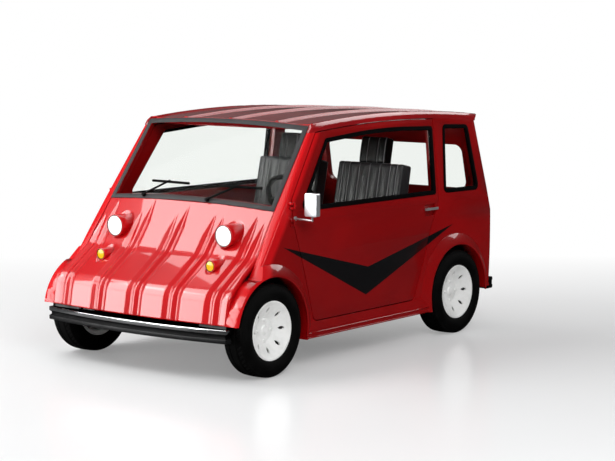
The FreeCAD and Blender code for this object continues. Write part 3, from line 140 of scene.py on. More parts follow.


# Two masks of painted light close behind the windscreen's plane, on its pillars down to the wings: 1 on the
# faces that look forwards, painted in the lit front red, and a share across a strip of the outer faces, a
# painted highlight where the real pillar's round corner catches light.
def pillarMasks(tree, across, along, height):
    y, z = paint["screenFoot"]
    slope = paint["screenSlope"]
    plane = addNode(tree, "Math", (height, slope, y - slope * z), operation="MULTIPLY_ADD")
    behind = addNode(tree, "Math", (along, plane), operation="SUBTRACT")
    normal = addNode(tree, "TexCoord", (), "Normal")
    sideways, lengthways = addNode(tree, "SeparateXYZ", (normal,), None)[:2]
    outwardly = addNode(tree, "Math", (sideways, across), operation="MULTIPLY")
    forwards = addNode(tree, "MapRange", (lengthways, *paint["pillarFacing"], 1.0, 0.0))
    close = addNode(tree, "MapRange", (behind, *paint["pillarDepth"], 1.0, 0.0))
    outer = addNode(tree, "MapRange", (outwardly, *paint["stripFacing"]))
    edge = addNode(tree, "MapRange", (behind, *paint["stripDepth"], paint["stripShare"], 0.0))
    return (addNode(tree, "Math", (forwards, close), operation="MULTIPLY"),
            addNode(tree, "Math", (outer, edge), operation="MULTIPLY"))


# Sprayed two-pack enamel under clear coat: a deep even colour with sharp reflections in a fine orange peel.
# Striped enamel has the V stripe and painted light: the front's lit red near the front panel and on the
# windscreen's pillars, and a painted highlight along the pillars' outer corners.
def sprayedEnamel(name, code, deep, striped=False, coat=1.0, base=0.35):
    material, tree, place = newMaterial(name)
    colour = cloudy(tree, place, linear(deep), linear(code), 2.2, 2.0, low=0.35, high=0.65)[0]
    if striped:
        across, along, height = addNode(tree, "SeparateXYZ", (place,), None)
        pillar, strip = pillarMasks(tree, across, along, height)
        # Towards the front panel the sides' red turns to the lit front red: painted light.
        front = addNode(tree, "MapRange", (along, *paint["cornerRun"], 1.0, 0.0))
        paintedLight = addNode(tree, "Math", (pillar, front), operation="MAXIMUM")
        paintedLight = addNode(tree, "Math", (paintedLight, strip), operation="MAXIMUM")
        colour = addNode(tree, "Mix", {0: paintedLight, 6: colour, 7: linear(paint["nose"])}, 2, data_type="RGBA")
        stripe = stripeMask(tree, along, height)
        colour = addNode(tree, "Mix", {0: stripe, 6: colour, 7: linear(paint["black"])}, 2, data_type="RGBA")
        behind = addNode(tree, "Math", (pillar, front), operation="SUBTRACT")
        coat = addNode(tree, "MapRange", (behind, 0.0, 1.0, coat, paint["pillarCoat"] * coat))
    peel = roughened(tree, place, 1.0 / paint["peel"], 1.0, 0.0001, 0.012)
    return finished(material, tree, addNode(tree, "BsdfPrincipled", {
        "Base Color": colour, "Roughness": 0.34, "IOR": 1.5, "Specular IOR Level": base, "Coat Weight": coat,
        "Coat Roughness": 0.06 if striped else 0.025, "Coat IOR": 1.5, "Normal": peel, "Coat Normal": peel}))


# Extruded black rubber: dull, slightly bloomed, with a fine pitted skin.
def mouldedRubber(name, code, grain=0.0012, roughness=0.62, shine=0.4):
    material, tree, place = newMaterial(name)
    base = linear(code)
    colour, bloom = cloudy(tree, place, base, shaded(base, 1.6, 0.001), 18.0, 4.0, low=0.4, high=0.75)
    dull = addNode(tree, "MapRange", (bloom, 0.3, 0.7, roughness - 0.08, roughness + 0.08))
    return finished(material, tree, addNode(tree, "BsdfPrincipled", {
        "Base Color": colour, "Roughness": dull, "IOR": 1.52, "Specular IOR Level": shine,
        "Normal": roughened(tree, place, 1.0 / grain, 3.0, 0.0002, 0.5)}))


# Injection-moulded ABS with a leather-like etched grain of about two millimetres.
def mouldedPlastic(name, code, grain=0.0018, roughness=0.42, shine=0.5):
    material, tree, place = newMaterial(name)
    cells = addNode(tree, "TexVoronoi", {"Vector": place, "Scale": 1.0 / grain}, feature="SMOOTH_F1")
    base = linear(code)
    colour, patches = cloudy(tree, place, base, shaded(base, 1.35, 0.0005), 9.0, 3.0)
    dull = addNode(tree, "MapRange", (patches, 0.3, 0.7, roughness - 0.05, roughness + 0.07))
    return finished(material, tree, addNode(tree, "BsdfPrincipled", {
        "Base Color": colour, "Roughness": dull, "IOR": 1.49, "Specular IOR Level": shine,
        "Normal": addNode(tree, "Bump", {"Height": cells, "Distance": 0.0002, "Strength": 0.35})}))


# Polished and plated steel: mirror bright, with faint hazing where it is wiped.
def brightMetal(name, code, roughness=0.07, wear=0.05, metallic=1.0):
    material, tree, place = newMaterial(name)
    colour, haze = cloudy(tree, place, linear(code), linear("#c4c6c8"), 26.0, 4.0)
    dull = addNode(tree, "MapRange", (haze, 0.35, 0.75, roughness, roughness + wear))
    return finished(material, tree, addNode(tree, "BsdfPrincipled", {
        "Base Color": colour, "Roughness": dull, "Metallic": metallic}))


# Stoved white wheel enamel, a little greyer in broad patches where dust settles.
def wheelEnamel(name, code):
    material, tree, place = newMaterial(name)
    colour, dust = cloudy(tree, place, linear(code), linear("#e6e6e3"), 14.0, 4.0, 0.6, 0.45, 0.8)
    return finished(material, tree, addNode(tree, "BsdfPrincipled", {
        "Base Color": colour, "Roughness": addNode(tree, "MapRange", (dust, 0.3, 0.7, 0.26, 0.42)),
        "IOR": 1.5, "Coat Weight": 0.35, "Coat Roughness": 0.08,
        "Normal": roughened(tree, place, 500.0, 3.0, 0.0001, 0.1)}))


# Float glass: almost all goes straight through, and the mirror's share grows as the fifth power of the slant.
def windowPane(name, tint, least=0.002, most=0.12):
    material, tree, place = newMaterial(name)
    mirror = addNode(tree, "BsdfGlossy", {"Roughness": 0.0, "Color": (0.95, 0.97, 0.97, 1.0)})
    clear = addNode(tree, "BsdfTransparent", {"Color": linear(tint)})
    slant = addNode(tree, "LayerWeight", {"Blend": 0.5}, "Facing")
    fifth = addNode(tree, "Math", (slant, 5.0), operation="POWER")
    share = addNode(tree, "MapRange", (fifth, 0.0, 1.0, least, most))
    return finished(material, tree, addNode(tree, "MixShader", (share, clear, mirror)))


# Moulded lamp lens: clear skin over fine upright ribs that scatter the light, 2.6 mm apart at a scale of 120.
# Though unlit, it glows a little: a painted glow that stands in for the light on it.
def ribbedLens(name, code, scale, paintedGlow):
    material, tree, place = newMaterial(name)
    ribs = addNode(tree, "TexWave", {"Vector": place, "Scale": scale, "Distortion": 0.0}, "Fac",
                   wave_type="BANDS", bands_direction="X")
    base = linear(code)
    # The ribs' low bands are painted darker, as shade in their troughs.
    colour = addNode(tree, "Mix", {0: ribs, 6: shaded(base, 0.86), 7: base}, 2, data_type="RGBA")
    return finished(material, tree, addNode(tree, "BsdfPrincipled", {
        "Base Color": colour, "Roughness": 0.12, "IOR": 1.52, "Coat Weight": 1.0, "Coat Roughness": 0.02,
        "Emission Color": base, "Emission Strength": paintedGlow,
        "Normal": addNode(tree, "Bump", {"Height": ribs, "Distance": 0.0008, "Strength": 0.5})}))


# Black vinyl-coated cloth: satin, with a pebble grain of about 1.5 mm, rubbed high spots, and a pale grey line
# on each seam, a painted highlight on its welt. Seam lines are measured from the middle of a seat, and that
# from the middle of the car.
def leatherette(name, code, rubbed, middle, seamHighlights, sheen=0.25, shine=0.5):
    material, tree, place = newMaterial(name)
    pebbles = addNode(tree, "TexVoronoi", {"Vector": place, "Scale": 650.0}, feature="SMOOTH_F1")
    cover, worn = cloudy(tree, place, linear(code), linear(rubbed), 11.0, 3.0)
    across = addNode(tree, "SeparateXYZ", (place,))
    across = addNode(tree, "Math", (across,), operation="ABSOLUTE")
    across = addNode(tree, "Math", (across, middle), operation="SUBTRACT")
    across = addNode(tree, "Math", (across,), operation="ABSOLUTE")
    nearest = 1.0
    for welt in seamHighlights:
        away = addNode(tree, "Math", (across, welt), operation="SUBTRACT")
        away = addNode(tree, "Math", (away,), operation="ABSOLUTE")
        nearest = addNode(tree, "Math", (away, nearest), operation="MINIMUM")
    # Pale grey lines painted on the seams: a painted highlight where their welts catch light.
    share = addNode(tree, "MapRange", (nearest, 0.0012, 0.0024, 1.0, 0.0))
    colour = addNode(tree, "Mix", {0: share, 6: cover, 7: linear("#8b888c")}, 2, data_type="RGBA")
    return finished(material, tree, addNode(tree, "BsdfPrincipled", {
        "Base Color": colour, "Roughness": addNode(tree, "MapRange", (worn, 0.3, 0.7, 0.32, 0.44)),
        "IOR": 1.5, "Specular IOR Level": shine, "Sheen Weight": sheen, "Sheen Roughness": 0.4,
        "Normal": addNode(tree, "Bump", {"Height": pebbles, "Distance": 0.0004, "Strength": 0.4})}))


# Brushed-on chassis black: satin with road film in the hollows.
def chassisCoat(name, code):
    material, tree, place = newMaterial(name)
    colour, film = cloudy(tree, place, linear(code), linear("#1d1c1b"), 7.0, 5.0, 0.6, 0.45, 0.8)
    return finished(material, tree, addNode(tree, "BsdfPrincipled", {
        "Base Color": colour, "Roughness": addNode(tree, "MapRange", (film, 0.3, 0.7, 0.4, 0.65)), "IOR": 1.5,
        "Normal": roughened(tree, place, 160.0, 4.0, 0.0005, 0.3)}))


finishes = {  # material and slot
    # The red enamels are painted lit and shaded copies of one paint: the front's lighter, the sides' and roof's
    # darker.
    "red": (sprayedEnamel("redEnamel", paint["red"], paint["redDeep"], False, 0.8, 0.1), "red_paint"),
    "striped": (sprayedEnamel("redEnamelStriped", paint["red"], paint["redDeep"], True, 0.8, 0.1),
                "red_paint"),
    "nose": (sprayedEnamel("redEnamelPaintedLitFront", paint["nose"], paint["noseDeep"]), "red_paint"),
    "roof": (sprayedEnamel("roofEnamel", paint["roof"], paint["roofDeep"], base=0.05), "red_roof"),
    # The windscreen's seal rubber is a paler copy of the door seals' black rubber: painted lighter, as lit.
    "seal": (mouldedRubber("litSealRubber", "#252325"), "seal_rubber"),
    "doorSeal": (mouldedRubber("doorSealRubber", "#040304", roughness=0.8, shine=0.05), "seal_rubber"),
    "tyre": (mouldedRubber("tyreRubber", "#030303", 0.002, 0.75, 0.12), "tyre_rubber"),
    "black": (mouldedPlastic("blackPlastic", "#040405", 0.0018, 0.5, 0.12), "black_plastic"),
    "gloss": (mouldedPlastic("glossBlackPlastic", "#020202", 0.0018, 0.45, 0.05), "black_plastic"),
    "lowerStrip": (mouldedPlastic("lowerStripPlastic", "#121213", 0.0018, 0.38, 0.25), "black_plastic"),
    "dash": (mouldedPlastic("dashPlastic", "#151416", 0.002, 0.55), "black_plastic"),
    "grey": (mouldedPlastic("greyPlastic", "#4a4a4c"), "grey_plastic"),
    "chrome": (brightMetal("chromePlate", "#e4e5e6"), "chromed"),
    # The fittings are three quarters metal: a quarter pale diffuse colour, a painted reflection in place of
    # what chrome would mirror.
    "fitting": (brightMetal("chromeFitting", "#dddee0", 0.30, 0.08, 0.75), "chromed"),
    "wheel": (wheelEnamel("whiteWheelEnamel", "#fbfbf9"), "white_wheel"),
    "pane": (windowPane("windowPane", "#fbfcfb"), "clear_glass"),
    # The lenses' glow is painted light: none of these lamps is lit.
    "lampWhite": (ribbedLens("whiteLampLens", "#fbfbf8", 120.0, 0.35), "lens_glass"),
    "lampYellow": (ribbedLens("yellowLampLens", "#f7c405", 160.0, 0.25), "lens_glass"),
    "lampRed": (ribbedLens("redLampLens", "#a80b10", 140.0, 0.02), "tail_lens"),
    "chassis": (chassisCoat("chassisBlack", "#0b0b0b"), "chassis_black"),
}
print("finishes made")


# Meshes

copying = {  # metres between doubles, and the least angles in degrees of a bend, a crease and a corner
    "merge": 1e-5, "nodeMerge": 2e-5, "bend": 0.6, "crease": 25.0, "corner": 30.0,
}


# Gives a piece its finish, the body that it rides on and the CAD nodes that it stands for.
def settle(piece, finish, body, nodes):
    scene.collection.objects.link(piece)
    piece.data.materials.clear()
    piece.data.materials.append(finishes[finish][0])
    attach(piece, body)
    if nodes:
        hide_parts(*nodes)
    return piece


# A smooth piece from arrays of points and faces.
def newPiece(name, points, faces, finish, body="body", nodes=()):
    mesh = bpy.data.meshes.new(name)
    mesh.from_pydata(np.asarray(points, float).reshape(-1, 3).tolist(), [], [tuple(face) for face in faces])
    mesh.validate()
    mesh.shade_smooth()
    return settle(bpy.data.objects.new(name, mesh), finish, body, nodes)


# Merges doubles and turns every face outwards.
def outwards(piece):
    work = bmesh.new()
    work.from_mesh(piece.data)
    bmesh.ops.remove_doubles(work, verts=work.verts, dist=copying["merge"])
    bmesh.ops.recalc_face_normals(work, faces=work.faces)
    work.to_mesh(piece.data)
    work.free()
    return piece


# Gives an open sheet its thickness, inwards from its surface.
def thicken(piece, thickness):
    wall = piece.modifiers.new("sheet", "SOLIDIFY")
    wall.thickness = thickness
    wall.offset = -1.0


# Quads of a grid of rows by columns, as one array, joined round where it closes.
def gridFaces(rows, columns, closeRows=False, closeColumns=False):
    r = np.arange(rows if closeRows else rows - 1)
    c = np.arange(columns if closeColumns else columns - 1)
    r, c = np.meshgrid(r, c, indexing="ij")
    nextR, nextC = (r + 1) % rows, (c + 1) % columns
    corners = [r * columns + c, r * columns + nextC, nextR * columns + nextC, nextR * columns + c]
    return np.stack(corners, -1).reshape(-1, 4)


# Faces of a tube of rings with so many points each, closed by one face at either end.
def tubeFaces(rings, count):
    last = count * (rings - 1)
    ends = [tuple(range(count)), tuple(range(last + count - 1, last - 1, -1))]
    return [tuple(face) for face in gridFaces(rings, count, closeColumns=True)] + ends


# From 0 to 1 with level ends: 3 x^2 - 2 x^3.
def smoothStep(x):
    x = np.clip(x, 0.0, 1.0)
    return x * x * (3.0 - 2.0 * x)


# A CAD node's mesh, merged, for work on its edges and faces.
def nodeMesh(node):
    work = bmesh.new()
    work.from_mesh(frame["nodes"][node].data)
    bmesh.ops.remove_doubles(work, verts=work.verts, dist=copying["nodeMerge"])
    return work


# A copy of a CAD node, or of the faces that keep chooses, with its edges rounded to a width in so many steps.
# It stands for the node unless another copy does, and swollen gives how far a point moves along its normal.
def smoothCopy(node, finish, width, steps=2, name=None, keep=None, stand=True, swollen=None):
    work = nodeMesh(node)
    if keep:
        others = [face for face in work.faces if not keep(face.calc_center_median())]
        bmesh.ops.delete(work, geom=others, context="FACES")
    bend = math.radians(copying["bend"])
    bmesh.ops.dissolve_limit(work, angle_limit=bend, verts=work.verts, edges=work.edges)
    if swollen:
        work.normal_update()
        for vert in work.verts:
            vert.co += vert.normal * swollen(vert.co)
    mesh = bpy.data.meshes.new(name or node + "Skin")
    work.to_mesh(mesh)
    work.free()
    mesh.shade_smooth()
    piece = bpy.data.objects.new(mesh.name, mesh)
    settle(piece, finish, bodyOf[node], (node,) if stand else ())
    if width:
        bevel = piece.modifiers.new("softEdges", "BEVEL")
        bevel.width = width
        bevel.segments = steps
        bevel.limit_method = "ANGLE"
        bevel.angle_limit = math.radians(copying["corner"])
        bevel.harden_normals = True
    else:
        mesh.set_sharp_from_angle(angle=math.radians(copying["crease"]))


# Body panels

copies = [  # node, with * for left and right; finish; width and steps of its rounded edges
    ("body_side_*", "striped", 0.002, 2), ("door_*", "striped", 0.0025, 2),
    ("door_seal_*", "doorSeal", 0.004, 3), ("door_glass_*", "pane", 0.0, 0),
    ("door_fittings_*", "fitting", 0.0022, 3), ("windscreen_frame", "striped", 0.001, 2),
    ("fixed_windows", "pane", 0.0, 0), ("roof_panel", "roof", 0.003, 2), ("rear_panel", "red", 0.002, 2),
    ("tailgate", "red", 0.0025, 2), ("tailgate_glass", "pane", 0.0, 0), ("tail_lamps", "lampRed", 0.003, 2),
    ("floor_pan", "chassis", 0.001, 2), ("wheelhouses", "chassis", 0.0, 0),
    ("front_suspension", "chassis", 0.002, 2), ("rear_axle", "chassis", 0.002, 2),
    ("knuckle_*", "chassis", 0.001, 2), ("rim_front_*", "wheel", 0.0012, 2), ("rim_rear_*", "wheel", 0.0012, 2),
    ("front_bumper", "black", 0.003, 2), ("rear_bumper", "black", 0.003, 2),
    ("seat_base", "chassis", 0.002, 2), ("battery_block", "grey", 0.003, 2),
    ("motor_block", "grey", 0.003, 2), ("dashboard", "dash", 0.004, 2),
]
trim = {
    "sealSplit": 0.800, "sealEdge": 0.003,  # the windscreen's seal lies ahead of the split
    "stripSplit": 0.230, "topStripEdge": 0.006, "lowerStripEdge": 0.004,  # the top strip lies above the split
    "wheelHub": (0.285, 0.598, 0.779), "hubReach": 0.100, "wheelSwell": 0.0022, "wheelEdge": 0.003,
    "bladeSwell": 0.0016, "bladeEdge": 0.0012,
}


# The CAD panels with rounded edges. Seals and bumper strips are split in two, each part with its own finish.
def makePanels():
    for node, finish, width, steps in copies:
        for side in sides if "*" in node else ("",):
            smoothCopy(node.replace("*", side), finish, width, steps)
    hub = Vector(trim["wheelHub"])
    smoothCopy("steering_wheel", "gloss", trim["wheelEdge"],
               swollen=lambda point: trim["wheelSwell"] if (point - hub).length > trim["hubReach"] else 0.0)
    smoothCopy("wipers", "gloss", trim["bladeEdge"], swollen=lambda point: trim["bladeSwell"])
    # Ahead of the split the seal takes the paler rubber, painted lighter, as lit.
    smoothCopy("window_seals", "seal", trim["sealEdge"], 2, "screenSeal",
               lambda centre: centre.y < trim["sealSplit"])
    smoothCopy("window_seals", "doorSeal", trim["sealEdge"], 2, "rearSeals",
               lambda centre: centre.y >= trim["sealSplit"], False)
    smoothCopy("bumper_strips", "chrome", trim["topStripEdge"], 4, "bumperTopStrip",
               lambda centre: centre.z > trim["stripSplit"])
    smoothCopy("bumper_strips", "lowerStrip", trim["lowerStripEdge"], 3, "bumperLowerStrip",
               lambda centre: centre.z <= trim["stripSplit"], False)


makePanels()


# Rubber under the roof's drip, along the top of each door
drip = {
    "run": (0.415, 1.436), "steps": 40, "near": 0.516, "far": 0.534, "hang": 0.0042, "sink": 0.001,
    "peak": (1.080, 1.183), "radius": 7.510,
}


# An oblong section carried along the roof's arc: z = peak - radius + sqrt(radius^2 - (y - peak)^2).
def makeDripRubber():
    y = np.linspace(*drip["run"], drip["steps"])
    z = drip["peak"][1] - drip["radius"] + np.sqrt(drip["radius"] ** 2 - (y - drip["peak"][0]) ** 2)
    section = [(drip["near"], -drip["hang"]), (drip["far"], -drip["hang"]),
               (drip["far"], drip["sink"]), (drip["near"], drip["sink"])]
    for sideName, side in sides.items():
        points = np.stack([np.stack([np.full_like(y, side * x), y, z + rise], -1) for x, rise in section], 1)
        outwards(newPiece("dripRubber_" + sideName, points, tubeFaces(len(y), len(section)), "doorSeal"))


makeDripRubber()


# Rolled edges, each a small round bead along a path: the arches' lips, two ridges a sill, the roof's front
beads = {
    "archRadius": 0.2635, "archX": 0.6465, "archTube": 0.0048, "archSteps": 64,
    "arcs": {"front": (-14.0, 167.0), "rear": (-3.5, 192.0)},  # degrees, from the rear up and over
    "sillX": 0.6395, "sillHeights": (0.1535, 0.1760), "sillTube": 0.0038, "sillRun": (0.275, 1.300),
    "sillSteps": 12, "roofTube": 0.0060, "roofShift": (0.0, 0.0025, -0.0035), "sides": 12,
}
roofFront = {"behind": 0.47, "faceY": -0.5, "faceZ": 0.8, "topZ": 0.85, "steps": 80}


# A ring about each point of the path, radius * (cos a, sin a), square to the path.
def sweptBead(name, path, radius, across):
    along = np.gradient(path, axis=0)
    along /= np.linalg.norm(along, axis=1)[:, None]
    beside = np.cross(along, across)
    beside /= np.linalg.norm(beside, axis=1)[:, None]
    above = np.cross(beside, along)
    turn = np.linspace(0.0, 2.0 * math.pi, beads["sides"], endpoint=False)[None, :, None]
    points = path[:, None] + radius * (np.cos(turn) * beside[:, None] + np.sin(turn) * above[:, None])
    outwards(newPiece(name, points, tubeFaces(len(path), beads["sides"]), "striped"))


# The roof's front edge, where its top meets its front face, as points from one side to the other.
def roofEdge():
    work = nodeMesh("roof_panel")
    found = []
    for edge in work.edges:
        if len(edge.link_faces) == 2 and all(vert.co.y < roofFront["behind"] for vert in edge.verts):
            face, top = sorted((face.normal for face in edge.link_faces), key=lambda normal: normal.y)
            if face.y < roofFront["faceY"] and face.z < roofFront["faceZ"] and top.z > roofFront["topZ"]:
                found += [tuple(vert.co) for vert in edge.verts]
    work.free()
    x, y, z = np.unique(np.round(np.array(found), 5), axis=0).T
    at = np.linspace(x[0], x[-1], roofFront["steps"])
    return np.stack([at, np.interp(at, x, y), np.interp(at, x, z)], -1)


# Arches: y = axle + radius * cos a, z = height + radius * sin a. Sills: straight lines along the car.
def makeBeads():
    for sideName, side in sides.items():
        for end, arc in beads["arcs"].items():
            turn = np.radians(np.linspace(*arc, beads["archSteps"]))
            path = np.stack([np.full_like(turn, side * beads["archX"]),
                             wheels["axles"][end] + beads["archRadius"] * np.cos(turn),
                             wheels["radius"] + beads["archRadius"] * np.sin(turn)], -1)
            sweptBead("archLip_%s_%s" % (end, sideName), path, beads["archTube"], (1.0, 0.0, 0.0))
        y = np.linspace(*beads["sillRun"], beads["sillSteps"])
        for index, height in enumerate(beads["sillHeights"]):
            path = np.stack([np.full_like(y, side * beads["sillX"]), y, np.full_like(y, height)], -1)
            sweptBead("sillRidge%d_%s" % (index, sideName), path, beads["sillTube"], (1.0, 0.0, 0.0))
    sweptBead("roofFrontRoll", roofEdge() + np.array(beads["roofShift"]), beads["roofTube"], (0.0, 0.0, 1.0))


makeBeads()


# Roof skin between the rails, over the CAD roof
roofSkin = {
    "peak": (1.080, 1.223), "radius": 7.550, "half": 0.5205, "start": 0.001, "rear": 1.867,
    "lift": 0.0004, "sheet": 0.001, "crownX": (0.0, 0.260, 0.527), "crownDrop": (0.0, 0.003, 0.009),
    "ribs": (-0.305, 0.0, 0.305), "ribFlat": 0.0075, "ribFlank": 0.0070, "ribHeight": 0.0083,
    "ribStart": 0.398, "ribRound": 0.012, "ribZone": 0.016, "ribSteps": 29, "ribClear": 0.018,
    "steps": 64, "frontShare": 0.05, "frontSteps": 34, "rearSteps": 120,  # finer over the front share
}


# z = the arc along the car, whose radius is less by the crown's drop across it and more by each rib's height.
def makeRoofSkin():
    ribs = np.array(roofSkin["ribs"])
    zone = np.linspace(-roofSkin["ribZone"], roofSkin["ribZone"], roofSkin["ribSteps"])
    wide = np.linspace(-roofSkin["half"], roofSkin["half"], roofSkin["steps"])
    wide = wide[np.abs(wide[:, None] - ribs).min(1) > roofSkin["ribClear"]]
    x = np.sort(np.r_[(ribs[:, None] + zone).ravel(), wide])[None]
    edge = roofEdge()
    start = np.interp(x, edge[:, 0], edge[:, 1]) + roofSkin["start"]
    share = np.r_[np.linspace(0.0, roofSkin["frontShare"], roofSkin["frontSteps"]),
                  np.linspace(roofSkin["frontShare"], 1.0, roofSkin["rearSteps"])[1:]][:, None]
    y = start + share * (roofSkin["rear"] - start)
    x = np.repeat(x, len(share), 0)
    away = np.abs(x[..., None] - ribs).min(-1)
    rib = roofSkin["ribHeight"] * (1.0 - smoothStep((away - roofSkin["ribFlat"]) / roofSkin["ribFlank"]))
    rib *= smoothStep((y - roofSkin["ribStart"]) / roofSkin["ribRound"])
    drop = np.interp(np.abs(x), roofSkin["crownX"], roofSkin["crownDrop"])
    reach = roofSkin["radius"] + roofSkin["lift"] + rib - drop
    z = roofSkin["peak"][1] - roofSkin["radius"] + np.sqrt(reach ** 2 - (y - roofSkin["peak"][0]) ** 2)
    piece = outwards(newPiece("roofSkin", np.stack([x, y, z], -1), gridFaces(*x.shape), "roof"))
    thicken(piece, roofSkin["sheet"])


makeRoofSkin()
print("panels made")


# Front panel

nose = {
    "screenY": 0.0934, "screenZ": 0.785, "slope": 0.728, "over": 0.035, "bow": 5.078,
    "bend": (-0.062, 0.571), "bendRound": 0.14, "corner": (-0.2765, 0.421), "cornerRound": 0.11,
    "foot": (-0.303, 0.279), "arch": 0.020, "sheet": 0.004, "arcSteps": 24,
    "halfTop": 0.5535, "halfMiddle": 0.5675, "halfFoot": 0.580, "middleZ": 0.505, "footZ": 0.440,
    "flutes": [(-0.500, 0.710, 0.780), (-0.246, 0.730, 0.800), (0.0, 0.745, 0.785), (0.246, 0.760, 0.752),
               (0.500, 0.765, 0.735)],  # centre, tip of the groove at -X, tip of the groove at +X
    "pitch": 0.054, "inner": 0.027, "outer": 0.034, "crest": 0.25, "depth": 0.0100, "fade": 0.105,
    "swell": 0.8, "least": 0.02,  # power and least share of a groove's growth
    "columnStep": 0.0038, "rowStep": 0.006, "flatEdge": 0.014, "roll": 0.008, "rollSteps": 7, "flange": 0.016,
    "pocket": 0.006, "pocketEdge": 0.007,
}
lamps = {
    "head": {"x": 0.366, "y": -0.035, "z": 0.668, "radius": 0.052, "reach": 0.115},
    "blinker": {"x": 0.368, "y": -0.136, "z": 0.533, "radius": 0.026, "reach": 0.075},
    "rim": 0.003, "gap": 0.007, "wall": 0.004, "steps": 64,
    "lip": [(0.003, 0.004), (0.0045, 0.0), (0.004, -0.004), (0.0015, -0.006), (-0.001, -0.0045),
            (-0.001, 0.004)],  # the barrel's rolled end: how far beyond the lens's radius, and how deep
    "ringIn": 0.0006, "ringDepth": -0.0050, "ringHalf": (0.0018, 0.0012), "ringSteps": 8,
    "lensShare": 0.975, "lensFront": -0.0035, "dome": 0.0035, "lensBack": 0.003, "lensSteps": 14,
    "pole": 0.001,  # share of the radius where the dome ends
}


# Points down the centre line: three straight runs joined by tangent arcs, and their outward normals.
def noseProfile(step):
    top = (nose["screenY"] + nose["slope"] * nose["over"], nose["screenZ"] + nose["over"])
    corners = [np.array(point) for point in (top, nose["bend"], nose["corner"], nose["foot"])]
    points = [corners[0][None]]
    bends = (nose["bendRound"], nose["cornerRound"])
    for before, here, after, bend in zip(corners, corners[1:], corners[2:], bends):
        a, b = (before - here) / np.linalg.norm(before - here), (after - here) / np.linalg.norm(after - here)
        half = 0.5 * math.acos(np.dot(a, b))
        reach = bend / math.tan(half)
        middle = here + (a + b) / np.linalg.norm(a + b) * bend / math.sin(half)
        start, end = here + a * reach - middle, here + b * reach - middle
        first, last = math.atan2(start[1], start[0]), math.atan2(end[1], end[0])
        turn = (last - first + math.pi) % (2.0 * math.pi) - math.pi
        angles = first + turn * np.linspace(0.0, 1.0, nose["arcSteps"])
        points.append(middle + bend * np.stack([np.cos(angles), np.sin(angles)], -1))
    line = np.concatenate(points + [corners[-1][None]])
    lengths = np.r_[0.0, np.cumsum(np.linalg.norm(np.diff(line, axis=0), axis=1))]
    at = np.linspace(0.0, lengths[-1], int(lengths[-1] / step))
    line = np.stack([np.interp(at, lengths, line[:, i]) for i in (0, 1)], -1)
    along = np.gradient(line, axis=0)
    along /= np.linalg.norm(along, axis=1)[:, None]
    return line, np.stack([along[:, 1], -along[:, 0]], -1)


# How far the panel lies below its plain surface: V grooves that widen down from their tips, and lamp pockets.
def noseInset(x, z):
    depth = np.zeros_like(x)
    crest = nose["crest"]
    for centre, tipLow, tipHigh in nose["flutes"]:
        for side, tip in ((-1.0, tipLow), (1.0, tipHigh)):
            growth = np.clip((tip - z) / nose["fade"], 0.0, 1.0) ** nose["swell"]
            away = (x - centre) * side - 0.5 * nose["pitch"]
            width = np.where(away > 0.0, nose["outer"], nose["inner"]) * np.maximum(growth, nose["least"])
            near = np.clip(1.0 - np.abs(away) / width, 0.0, 1.0)
            wall = np.where(near < crest, 0.5 * near ** 2 / crest, near - 0.5 * crest) / (1.0 - 0.5 * crest)
            depth = np.maximum(depth, nose["depth"] * growth * wall)
    for lamp in (lamps["head"], lamps["blinker"]):
        reach = lamp["radius"] + lamps["rim"] + lamps["gap"]
        away = np.hypot(np.abs(x) - lamp["x"], z - lamp["z"])
        depth = np.maximum(depth, nose["pocket"] * smoothStep((reach - away) / nose["pocketEdge"] + 0.5))
    return depth


# x, y, z = the profile bowed about an upright axis, less the depth of grooves and rolled sides on the normal.
def makeNose():
    line, normal = noseProfile(nose["rowStep"])
    z = line[:, 1][:, None]
    half = np.interp(z, [nose["footZ"], nose["middleZ"], nose["screenZ"] + nose["over"]],
                     [nose["halfFoot"], nose["halfMiddle"], nose["halfTop"]])
    inner = nose["halfTop"] - nose["flatEdge"]
    columns = np.linspace(-inner, inner, int(2.0 * inner / nose["columnStep"]))[None]
    turn = np.radians(np.linspace(0.0, 90.0, nose["rollSteps"]))[None]
    side = np.concatenate([half - nose["roll"] + nose["roll"] * np.sin(turn), half], 1)
    x = np.concatenate([-side[:, ::-1], np.repeat(columns, len(z), 0), side], 1)
    drop = np.r_[nose["roll"] * (1.0 - np.cos(turn[0])), nose["roll"] + nose["flange"]]
    rolled = np.r_[drop[::-1], np.zeros(columns.shape[1]), drop][None]
    top = nose["screenZ"] + nose["arch"] * (1.0 - (x / nose["halfTop"]) ** 2)
    z = np.repeat(z, x.shape[1], 1)
    y = np.repeat(line[:, 0][:, None], x.shape[1], 1)
    y = np.where(z > top, nose["screenY"] - nose["slope"] * (nose["screenZ"] - top), y)
    z = np.minimum(z, top)
    depth = noseInset(x, z) + rolled
    y = y - depth * normal[:, 0][:, None]
    z = z - depth * normal[:, 1][:, None]
    axis = nose["screenY"] + nose["bow"]
    y = axis - np.sqrt((axis - y) ** 2 - x ** 2)
    points = np.stack([x, y, z], -1)
    # The front panel takes the red painted lighter, as lit.
    piece = outwards(newPiece("frontPanelSkin", points, gridFaces(*x.shape), "nose", nodes=("nose_panel",)))
    thicken(piece, nose["sheet"])


makeNose()
print("front panel made")


# Lamps

# Turns a closed profile of (radius, depth) about a line along Y: x = r cos a, z = r sin a, y = depth.
def turned(profile, origin):
    r, depth = np.array(profile, float).T[:, :, None]
    angle = np.linspace(0.0, 2.0 * math.pi, lamps["steps"], endpoint=False)
    points = np.stack([r * np.cos(angle), np.repeat(depth, len(angle), 1), r * np.sin(angle)], -1) + origin
    return points, gridFaces(len(profile), len(angle), True, True)


# One piece from several sets of points and faces.
def joinedPiece(name, parts, finish, nodes=()):
    points, faces, count = [], [], 0
    for partPoints, partFaces in parts:
        points.append(partPoints.reshape(-1, 3))
        faces.append(partFaces + count)
        count += len(points[-1])
    outwards(newPiece(name, np.concatenate(points), np.concatenate(faces), finish, nodes=nodes))


